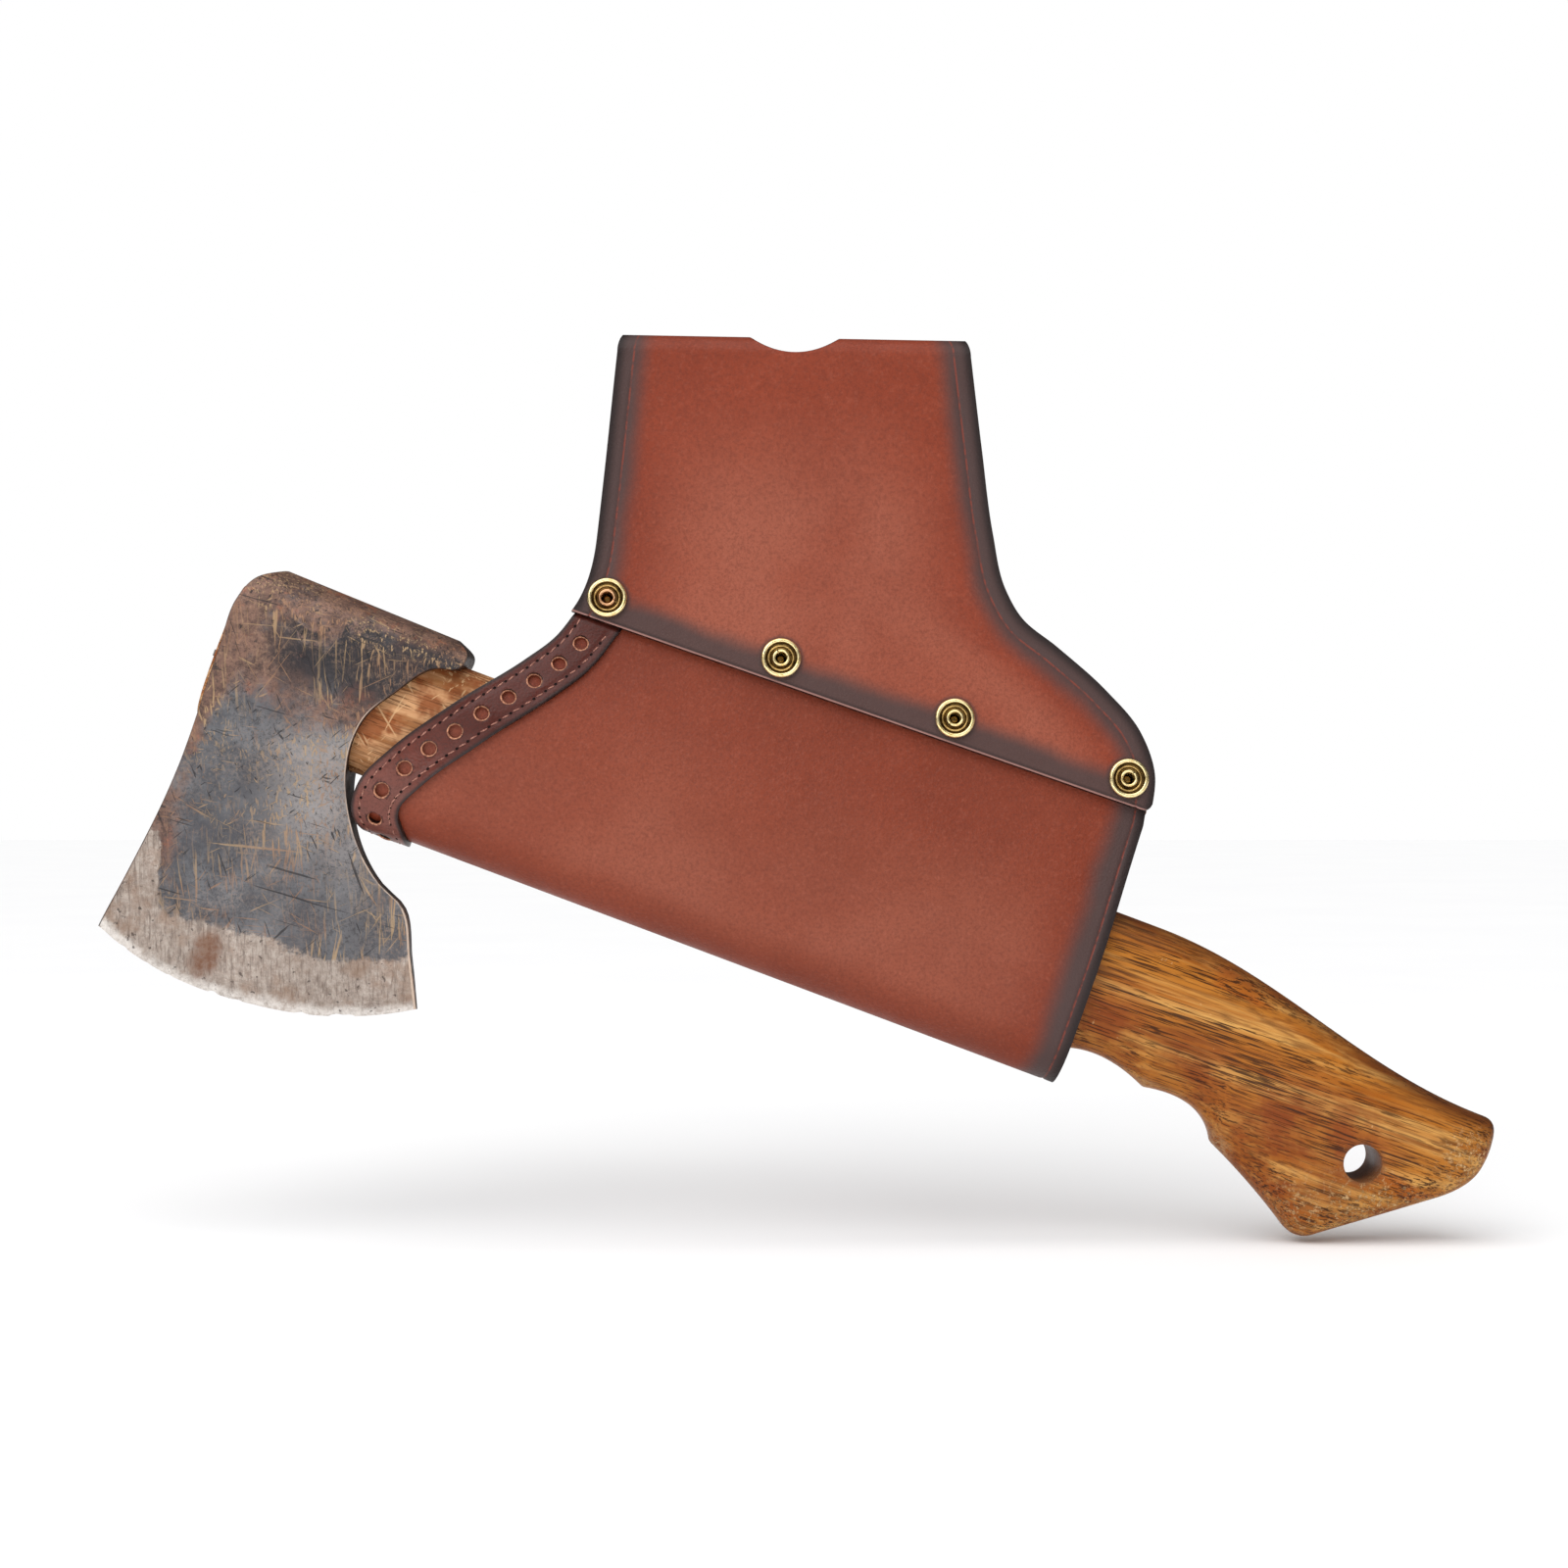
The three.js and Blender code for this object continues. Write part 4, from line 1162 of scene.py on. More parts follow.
@dataclass
class Sleeve:
    """The sleeve's outer face as a section: down the front, round the bottom fold and up the back."""

    leather: float = 2.8
    wrap_top: float = 78.0
    lap_inner: float = -3.2
    lap_slope: float = 0.139
    lap_gap: float = 0.5
    lap_end: float = 99.0
    full_depth_down: float = 150.0
    front: float = -22.4
    back: float = 8.0
    fold_centre: tuple[float, float] = (170.7, -7.2)
    back_bend: tuple[float, float] = (98.0, 122.0)
    back_top: float = 60.0
    seam_down: float = 181.4
    mouth: tuple[tuple[float, float], ...] = (
        (-31.2, 92.0), (-33.8, 103.0), (-36.4, 111.7), (-42.4, 121.7), (-57.2, 141.4), (-70.2, 160.7), (-75.7, 173.3),
        (-75.9, 179.0), (-74.4, 183.3), (-71.0, 185.9), (-68.0, 187.5),
    )
    butt_side: tuple[tuple[float, float], ...] = (
        (140.0, 78.0), (145.4, 82.0), (149.5, 88.0), (152.0, 102.5), (153.6, 190.0),
    )
    line: Array = field(init=False)
    way: Array = field(init=False)

    def __post_init__(self) -> None:
        """Draws the section once."""
        lap = [(v, self.lap_depth(v, 1)) for v in np.linspace(self.wrap_top, self.lap_end, 8)]
        swell = bezier(lap[-1], (120.0, -12.5), (135.0, self.front), (self.full_depth_down, self.front), count=60)
        centre, radius = self.fold_centre, self.back - self.fold_centre[1]
        turn = np.linspace(-math.pi / 2, math.pi / 2, 64)
        fold = np.stack([centre[0] + radius * np.cos(turn), centre[1] + radius * np.sin(turn)], axis=1)
        low, high = self.back_bend
        rise = bezier((high, self.back), (110.5, self.back), (111.0, self.leather), (low, self.leather), count=40)
        rest = [(self.back_top, self.leather)]
        self.line = np.vstack([lap, swell[1:], fold, rise, rest])
        self.way = travelled(self.line)

    def lap_depth(self, down: Array | float, layers: float) -> Array | float:
        """Depth of the lap's face, counted in layers of leather from the wrap's hidden face."""
        thick = self.leather / math.cos(math.atan(self.lap_slope))
        gap = self.lap_gap if layers > 1 else 0.0
        return self.lap_inner - (down - self.wrap_top) * self.lap_slope - thick * layers - gap

    def at(self, q: Array) -> tuple[Array, Array]:
        """Down and depth of places along the section."""
        return np.interp(q, self.way, self.line[:, 0]), np.interp(q, self.way, self.line[:, 1])

    def outward(self, q: Array) -> tuple[Array, Array]:
        """Down and depth of the face's outward direction."""
        step = 0.4
        down_a, depth_a = self.at(q - step)
        down_b, depth_b = self.at(q + step)
        length = np.hypot(down_b - down_a, depth_b - depth_a)
        return (depth_b - depth_a) / length, -(down_b - down_a) / length

    def q_front(self, down: float) -> float:
        """Where the front passes a level."""
        half = int(np.argmax(self.line[:, 0]))
        return np.interp(down, self.line[:half, 0], self.way[:half])

    def q_back(self, down: Array | float) -> Array | float:
        """Where the back passes a level."""
        half = int(np.argmax(self.line[:, 0]))
        return np.interp(down, self.line[half:, 0][::-1], self.way[half:][::-1])

    @property
    def seam(self) -> float:
        """The hidden joint between wrap and back panel, behind the bottom fold."""
        return self.q_back(self.seam_down)

    def mouth_at(self, down: Array) -> Array:
        """Where the mouth edge lies along the haft, at a level."""
        line = smooth_line(self.mouth)
        return np.interp(down, line[:, 1], line[:, 0])

    def butt_at(self, down: Array) -> Array:
        """Where the butt-side edge lies, at a level."""
        line = np.array(self.butt_side)
        return np.interp(down, line[:, 1], line[:, 0])


@dataclass
class BeltOutline:
    """The belt part's side edges, the same on the flap and on the back panel, as upright (x, z)."""

    left_corner: tuple[float, float] = (-68.4, -83.6)
    right_corner: tuple[float, float] = (108.6, -145.4)
    fold_radius: float = 5.9
    half_width: float = 54.0
    narrowing: float = 1.6
    seam: float = -8.1
    fold_lift: float = 1.9

    def left(self, top: float) -> Array:
        """From a height near the fold down to the sleeve's mouth."""
        flare = bezier((-61.0, -62.0), (-62.6, -76.0), self.left_corner, count=30)
        return np.vstack([[(-self.half_width + 0.113 * top, top)], flare])

    def right(self, top: float) -> Array:
        """From a height near the fold down to the flap's outer corner."""
        return smooth_line([
            (53.0 - 0.116 * top, top), (57.0, -34.0), (60.4, -60.0), (64.1, -76.5), (69.0, -85.3), (80.2, -94.6),
            (95.0, -107.8), (105.5, -120.5), (109.8, -133.5), self.right_corner,
        ])

    def lifted(self, x: Array, z: Array | float) -> Array:
        """Heights near the fold, which sits a little higher on its left."""
        return z + self.fold_lift * (0.5 - x / 106.0) * eased(z, -40.0, -6.0)


class Carrier:
    """The leather carrier: one hide folded over the belt and wrapped round the haft."""

    crease_depth = 0.32
    crease_width = 0.42
    flap_bend = (-9.0, -38.0)
    wrap_bend = (179.0, 146.0)
    lean_from, lean_to = 46.0, 82.0
    notch_half, notch_deep = 12.75, 4.2
    corner_radius = 3.4
    lower_back_top = 103.6
    flap_rows, back_rows, lower_back_rows, wrap_rows = 118, 86, 70, 128
    edge_rounding = 0.55

    def __init__(self, frame: CarrierFrame) -> None:
        """Keeps the frame and draws the shared lines."""
        self.frame = frame
        self.sleeve = Sleeve()
        self.outline = BeltOutline()
        self.cutting = Cutting()
        self.grain = HideFinish("russet_hide", Burnish.PANEL).material()
        self.flesh = FleshFinish().material()
        self.edge = BURNISHED_EDGE.material()

    def crease(self, side: Array, burnish: Burnish) -> Array:
        """How deep the creased line lies below the face."""
        return self.crease_depth * np.exp(-(((side - burnish.crease) / self.crease_width) ** 2))

    def flap_depth(self, down: Array) -> Array:
        """Depth of the flap's face at a level: flat over the belt, then leaning onto the wrap."""
        flat = -(self.frame.belt_gap + self.frame.leather)
        low, high = self.lean_from, self.lean_to
        t = np.clip((down - low) / (high - low), 0.0, 1.0)
        end = self.sleeve.lap_depth(high, 2)
        slope = -self.sleeve.lap_slope * (high - low)
        curve = flat * (2 * t**3 - 3 * t**2 + 1) + end * (3 * t**2 - 2 * t**3) + slope * (t**3 - t**2)
        return np.where(down > high, self.sleeve.lap_depth(down, 2), curve)

    def thicken(self, piece: bpy.types.Object, cutters: list[bpy.types.Object], grain: bpy.types.Material) -> None:
        """Gives a sheet its thickness, cuts its holes, rounds its edges and dresses it.

        Args:
            piece: the sheet, one layer thick.
            cutters: bodies to cut out of it.
            grain: the outer face's finish.
        """
        dress(piece, grain, self.flesh, self.edge)
        sheet = len(piece.data.vertices)
        modify(piece, "SOLIDIFY", thickness=self.frame.leather * MM, offset=-1.0, material_offset=1,
               material_offset_rim=2, use_even_offset=False)
        press(piece, sheet)
        for cutter in cutters:
            dress(cutter, self.edge)
            carve(piece, cutter)
        soften(piece, self.edge_rounding, 3, 50)

    def belt_panel(self, rows: int, top: float) -> Panel:
        """The pattern that the flap and the back panel share, from a height near the fold to the flap's edge."""
        left = evenly(self.outline.left(top), rows)
        right = evenly(self.outline.right(top), rows)
        return self.cutting.panel(left, right)

    def over_fold(self, panel: Panel) -> tuple[Array, Array]:
        """The strip over the belt fold, from the hidden joint behind to where the flap hangs straight.

        Args:
            panel: the flap's pattern, whose top row the strip meets.

        Returns:
            Places in metres and their distance from the sides.
        """
        top = panel.places[0]
        radius = self.outline.fold_radius
        turn = np.linspace(0.0, math.pi, 26)[:-1]
        behind = np.linspace(self.outline.seam + 0.1, -radius, 5)[:-1]
        middle = -self.frame.belt_gap / 2
        rows = []
        for z in behind:
            rows.append(self.frame.upright(top[:, 0], middle + radius, self.outline.lifted(top[:, 0], z)))
        for angle in turn:
            squeeze = 1 - self.outline.narrowing * math.sin(angle) ** 2 / self.outline.half_width
            height = self.outline.lifted(top[:, 0], -radius + radius * math.sin(angle))
            rows.append(self.frame.upright(top[:, 0] * squeeze, middle + radius * math.cos(angle), height))
        side = np.repeat(panel.side[:1], len(rows), axis=0)
        return np.array(rows), side

    def hem_distance(self, places: Array) -> Array:
        """How far each upright place is above the flap's slanted edge."""
        a, b = np.array(self.outline.left_corner), np.array(self.outline.right_corner)
        way = (b - a) / np.linalg.norm(b - a)
        gap = places - a
        return gap[..., 1] * way[0] - gap[..., 0] * way[1]

    def round_corner(self, places: Array, radius: float) -> Array:
        """Rounds the pattern's last right-hand corner."""
        corner, below, beside = places[-1, -1], places[-1, -8], places[-6, -1]
        one, two = below - corner, beside - corner
        one, two = one / np.linalg.norm(one), two / np.linalg.norm(two)
        basis = np.stack([one, two], axis=1)
        local = (places - corner) @ np.linalg.inv(basis).T
        p = np.clip(radius - local, 0.0, None)
        big = p.max(axis=-1)
        length = np.linalg.norm(p, axis=-1)
        shrink = np.where(length > 1e-9, big / np.maximum(length, 1e-9), 1.0)
        inside = (p > 0).all(axis=-1)
        moved = corner + (radius - p * shrink[..., None]) @ basis.T
        return np.where(inside[..., None], moved, places)

    def notch(self) -> bpy.types.Object:
        """The half-round bite out of the top fold."""
        half, deep = self.notch_half, self.notch_deep
        radius = (half**2 + deep**2) / (2 * deep)
        return drill("notch_cutter", 160, radius, 50, self.frame.upright(0.0, -3.1, radius - deep))

    def flap(self, snaps: Snaps) -> bpy.types.Object:
        """The fold over the belt and the flap that hangs from it."""
        panel = self.belt_panel(self.flap_rows, -self.outline.fold_radius)
        fold, fold_side = self.over_fold(panel)
        places = self.round_corner(panel.places, self.corner_radius)
        down = self.frame.down_of(places[..., 0], places[..., 1])
        height = self.outline.lifted(places[..., 0], places[..., 1])
        front = self.frame.upright(places[..., 0], self.flap_depth(down), height)
        hem = self.hem_distance(places)
        surface = np.concatenate([fold, front], axis=0)
        side = np.concatenate([fold_side, panel.side], axis=0) * MM
        hem = np.concatenate([np.full(fold_side.shape, FAR), hem], axis=0) * MM
        crease = self.crease(panel.side, Burnish.PANEL) * eased(-places[..., 1], 10, 15)
        crease = np.concatenate([np.zeros(fold_side.shape), crease], axis=0) * MM
        # Rosier and lighter away from the side edges and from the top fold.
        rosy_sheen = 0.9 * eased(side / MM, 6.0, 38.0) * eased(-surface[..., 2] / MM, 8.0, 60.0)
        piece = sheet_mesh("flap_hide", surface, {"side": side, "hem": hem, "press": crease, "rosy_sheen": rosy_sheen})
        grain = HideFinish("russet_flap", Burnish.PANEL, snaps.middles()).material()
        self.thicken(piece, [self.notch(), *snaps.flap_room()], grain)
        return piece

    def back(self) -> bpy.types.Object:
        """The panel against the wearer, from the belt fold down and round to behind the bottom fold."""
        panel = self.belt_panel(self.back_rows, self.outline.seam)
        x, z = panel.places[..., 0], panel.places[..., 1]
        down = self.frame.down_of(x, z)
        levels = np.linspace(60.0, 180.0, 400)
        depth = np.interp(down, levels, self.sleeve.at(self.sleeve.q_back(levels))[1])
        upper = self.frame.upright(x, depth, self.outline.lifted(x, z))
        lower_end = self.sleeve.q_back(self.lower_back_top)
        lower, lower_side = self.sleeve_rows(self.sleeve.seam, lower_end, self.lower_back_rows)
        surface = np.concatenate([lower, upper[::-1]], axis=0)
        side = np.concatenate([lower_side, panel.side[::-1]], axis=0)
        crease = np.concatenate([self.crease(lower_side, Burnish.WRAP), self.crease(panel.side[::-1], Burnish.PANEL)])
        marks = {"side": side * MM, "hem": np.full(side.shape, FAR) * MM, "press": crease * MM,
                 "rosy_sheen": 0.5 * eased(side, 6.0, 38.0)}
        piece = sheet_mesh("back_hide", surface, marks)
        self.thicken(piece, [], self.grain)
        return piece

    def sleeve_rows(self, start: float, end: float, rows: int) -> tuple[Array, Array]:
        """Rows across the sleeve between two places on its section.

        Args:
            start: where the first row lies along the section.
            end: where the last row lies.
            rows: how many.

        Returns:
            Places in metres and their distance from the butt-side edge.
        """
        q = np.linspace(start, end, rows)
        down, depth = self.sleeve.at(q)
        left = np.stack([self.sleeve.mouth_at(down), q], axis=1)
        right = np.stack([self.sleeve.butt_at(down), q], axis=1)
        panel = self.cutting.panel(left, right, square_left=True, square_right=True)
        side = right[:, :1] - panel.places[..., 0]
        surface = self.frame.slanted(panel.places[..., 0], depth[:, None], down[:, None])
        return surface, side

    def wrap(self, snaps: Snaps) -> bpy.types.Object:
        """The wrap over the haft, tucked in under the flap."""
        surface, side = self.sleeve_rows(0.0, self.sleeve.seam, self.wrap_rows)
        low = np.linspace(0.0, 1.0, len(side))[:, None]
        # Painted sheen: rosier towards the bottom fold. Painted shade: less rosy again at the bottom of the fold.
        rosy_sheen = (0.15 + 0.75 * eased(low, 0.3, 0.62)) * (1 - 0.85 * eased(low, 0.7, 0.84))
        marks = {"side": side * MM, "hem": np.full(side.shape, FAR) * MM,
                 "press": self.crease(side, Burnish.WRAP) * MM, "rosy_sheen": rosy_sheen * eased(side, 6.0, 30.0)}
        piece = sheet_mesh("wrap_hide", surface, marks)
        grain = HideFinish("russet_wrap", Burnish.WRAP, (), (126, 51, 28), (112, 43, 22), (140, 74, 54)).material()
        self.thicken(piece, snaps.wrap_room(), grain)
        return piece

    def bends(self) -> tuple[Bend, Bend]:
        """Where the flap and the wrap start to bend away from the carrier and where they have turned fully."""
        start, end = (Vector((0, 0, z * MM)) for z in self.flap_bend)
        low, high = (Vector(self.frame.slanted(30.0, -20.0, down)) for down in self.wrap_bend)
        return (start, end), (low, high)

    def build(self, snaps: Snaps) -> None:
        """Cuts and folds every panel, ties the back panel to the carrier, and bakes the flap and the wrap in place."""
        flap_bend, wrap_bend = self.bends()
        seat(self.back(), "carrier", "hide", "back_panel")
        seat(self.flap(snaps), "flap", "hide", "belt_flap", bend=flap_bend)
        seat(self.wrap(snaps), "wrap", "hide", "front_wrap", bend=wrap_bend)


# ---- the mouth band --------------------------------------------------------------------------------------------------


class MouthBand:
    """The dark band stitched round the sleeve's mouth, with a row of punched holes."""

    width = 14.7
    thickness = 1.6
    inset = 0.12
    hole_radius = 2.45
    hole_pitch = 9.4
    first_hole_down = 110.9
    lip_radius = 2.3
    lip_thickness = 0.3
    lip_lean = 0.2
    stitch_pitch = 3.85
    stitch_margin = 2.7
    first_stitch = 6.5
    glue_gap = 0.1
    crown = 0.12
    seam_depth = 0.16
    seam_width = 0.55
    row_step = 0.85
    tuck_depth = 1.75
    tuck_down = (101.2, 104.2)
    seam_clear = 3.0

    def __init__(self, carrier: Carrier) -> None:
        """Runs the band's edge round the mouth, measured on the unrolled leather."""
        self.carrier = carrier
        self.frame = carrier.frame
        self.sleeve = carrier.sleeve
        q = np.linspace(self.sleeve.q_front(97.0), self.sleeve.q_back(101.0), 500)
        edge = np.stack([self.sleeve.mouth_at(self.sleeve.at(q)[0]), q], axis=1)
        self.edge = evenly(smooth_line(evenly(edge, 60), 8), 480)
        self.run = travelled(self.edge)
        tangent = np.gradient(self.edge, axis=0)
        tangent /= np.linalg.norm(tangent, axis=1, keepdims=True)
        self.inwards = np.stack([tangent[:, 1], -tangent[:, 0]], axis=1)
        self.split = float(np.interp(self.sleeve.seam - self.seam_clear, self.edge[:, 1], self.run))

    def unrolled(self, s: Array | float, w: Array | float) -> Array:
        """Places on the flat leather, as along and round the section, for a run and a distance in."""
        base = np.stack([np.interp(s, self.run, self.edge[:, k]) for k in (0, 1)], axis=-1)
        way = np.stack([np.interp(s, self.run, self.inwards[:, k]) for k in (0, 1)], axis=-1)
        return base + way * np.asarray(w)[..., None]

    def on_leather(self, s: Array | float, w: Array | float, lift: Array | float) -> Array:
        """Places on the band.

        Args:
            s: how far along the mouth edge.
            w: how far in from it.
            lift: height above the sleeve's face.

        Returns:
            The places in metres.
        """
        spot = self.unrolled(s, w)
        down, depth = self.sleeve.at(spot[..., 1])
        down_out, depth_out = self.sleeve.outward(spot[..., 1])
        tuck = self.tuck_depth * (1 - eased(down, *self.tuck_down)) * (spot[..., 1] < self.sleeve.q_front(120.0))
        height = lift - tuck
        return self.frame.slanted(spot[..., 0], depth + depth_out * height, down + down_out * height)

    def placed(self, s: float, w: float, lift: float) -> Matrix:
        """A frame standing on the band: X along it, Z out of the leather."""
        here, ahead, across = (Vector(self.on_leather(a, b, lift)) for a, b in ((s, w), (s + 0.5, w), (s, w + 0.5)))
        x = (ahead - here).normalized()
        z = x.cross(across - here).normalized()
        outward = Vector(self.on_leather(s, w, lift + 1.0)) - here
        if z.dot(outward) < 0:
            z = -z
        y = z.cross(x)
        turn = Matrix((x, y, z)).transposed().to_4x4()
        return Matrix.Translation(here) @ turn

    def holes(self) -> list[float]:
        """Where along the band its holes are punched."""
        s = np.linspace(0.0, self.run[-1], 900)
        line = self.unrolled(s, self.width / 2)
        down = self.sleeve.at(line[:, 1])[0]
        run = travelled(line)
        first = run[int(np.argmax(down > self.first_hole_down))]
        marks = np.arange(first, run[-1] - 5.0, self.hole_pitch)
        return [float(np.interp(mark_at, run, s)) for mark_at in marks]

    def strip(self, name: str, start: float, end: float, holes: list[float]) -> bpy.types.Object:
        """One stretch of the band with its holes cut."""
        rows = int((end - start) / self.row_step)
        s = np.linspace(start, end, rows)[:, None]
        margin = self.stitch_margin
        w = np.concatenate([[self.inset, 0.5, 1.1, 1.9], np.linspace(margin, self.width - margin, 12),
                            self.width - np.array([1.9, 1.1, 0.5, 0.0])])[None, :]
        s, w = np.broadcast_arrays(s, w)
        crown = self.crown * np.sin(math.pi * w / self.width)
        seams = self.seam_depth * sum(np.exp(-(((w - seam) / self.seam_width) ** 2))
                                      for seam in (margin, self.width - margin))
        surface = self.on_leather(s, w, self.glue_gap + self.thickness + crown)
        side = np.minimum(w - self.inset, self.width - w) * MM
        down = self.sleeve.at(np.interp(s, self.run, self.edge[:, 1]))[0] * MM
        piece = sheet_mesh(name, surface, {"side": side, "press": seams * MM, "down": down})
        cutters = []
        for spot in holes:
            punch = primitive("punch", bpy.ops.mesh.primitive_cylinder_add, vertices=36, radius=self.hole_radius * MM,
                              depth=6 * MM)
            cutters.append(set_down(punch, self.placed(spot, self.width / 2, 1.0)))
        dress(piece, BandFinish(name + "_leather").material(), self.carrier.flesh, self.carrier.edge)
        sheet = len(piece.data.vertices)
        modify(piece, "SOLIDIFY", thickness=self.thickness * MM, offset=-1.0, material_offset=1,
               material_offset_rim=2)
        press(piece, sheet)
        punch = joined("punches", cutters)
        dress(punch, self.rim)
        carve(piece, punch)
        soften(piece, 0.32, 2, 50)
        return piece

    def rims(self, name: str, holes: list[float]) -> bpy.types.Object:
        """The raised lips round the holes, pushed up by the punch on one side."""
        parts = []
        for spot in holes:
            lip = primitive("lip", bpy.ops.mesh.primitive_torus_add, major_segments=36, minor_segments=8,
                            major_radius=self.lip_radius * MM, minor_radius=self.lip_thickness * MM)
            places = vertices_of(lip)
            places[:, 2] += places[:, 0] * self.lip_lean
            move_vertices(lip, places)
            parts.append(set_down(lip, self.placed(spot, self.width / 2, 1.25)))
        piece = joined(name, parts)
        dress(piece, self.rim)
        smooth(piece, 60)
        return piece

    def bead(self, name: str, *half_sizes: float) -> bpy.types.Object:
        """A small ball flattened to half sizes in millimetres, with the finishes of thread and of a needle hole's
        painted shade.
        """
        piece = primitive(name, bpy.ops.mesh.primitive_uv_sphere_add, segments=10, ring_count=6, radius=1.0)
        with editing(piece):
            bpy.ops.transform.resize(value=tuple(size * MM for size in half_sizes))
        dress(piece, self.thread, self.hole)
        return piece

    def stitches(self, name: str, start: float, end: float) -> bpy.types.Object:
        """Two rows of thread, each stitch leaning a little, with a near-black disc of painted shade standing for the
        needle hole between stitches.
        """
        thread = self.bead("stitch", 1.2, 0.24, 0.26)
        hole = self.bead("needle_hole", 0.52, 0.46, 0.14)
        hole.data.polygons.foreach_set("material_index", [1] * len(hole.data.polygons))
        parts = []
        top = self.glue_gap + self.thickness - self.crown
        for margin, lean in ((self.stitch_margin, 8.0), (self.width - self.stitch_margin, -8.0)):
            for s in np.arange(start + 1.2, end - 1.0, self.stitch_pitch):
                place = self.placed(float(s), margin, top + 0.06)
                turn = Matrix.Rotation(math.radians(lean), 4, "Z")
                parts.append(set_down(copy_of(thread, "stitch"), place @ turn))
                gap = self.placed(float(s) + self.stitch_pitch / 2, margin, top + 0.05)
                parts.append(set_down(copy_of(hole, "needle_hole"), gap))
        for template in (thread, hole):
            bpy.data.objects.remove(template, do_unlink=True)
        piece = joined(name, parts)
        smooth(piece, 80)
        return piece

    def build(self) -> None:
        """Makes the front stretch, baked in place, and the back stretch, tied to the carrier."""
        self.rim = PUNCHED_RIM.material()
        self.thread = WAXED_THREAD.material()
        self.hole = STITCH_HOLE_SHADE.material()
        _, bend = self.carrier.bends()
        holes = self.holes()
        front = [s for s in holes if s < self.split - self.seam_clear]
        back = [s for s in holes if s > self.split + self.seam_clear]
        end = float(self.run[-1])
        for part, first, last, spots, node in (("front", 0.0, self.split, front, "mouth_strap_front"),
                                               ("back", self.split, end, back, "mouth_strap_back")):
            body, bent = ("wrap", bend) if part == "front" else ("carrier", None)
            seat(self.strip(f"mouth_band_{part}", first, last, spots), body, "strap_hide", node, bend=bent)
            seat(self.rims(f"band_hole_rims_{part}", spots), body, "strap_hide", bend=bent)
            stitches = self.stitches(f"band_stitches_{part}", max(first, self.first_stitch), last)
            seat(stitches, body, "strap_hide", bend=bent)


# ---- snap fasteners --------------------------------------------------------------------------------------------------


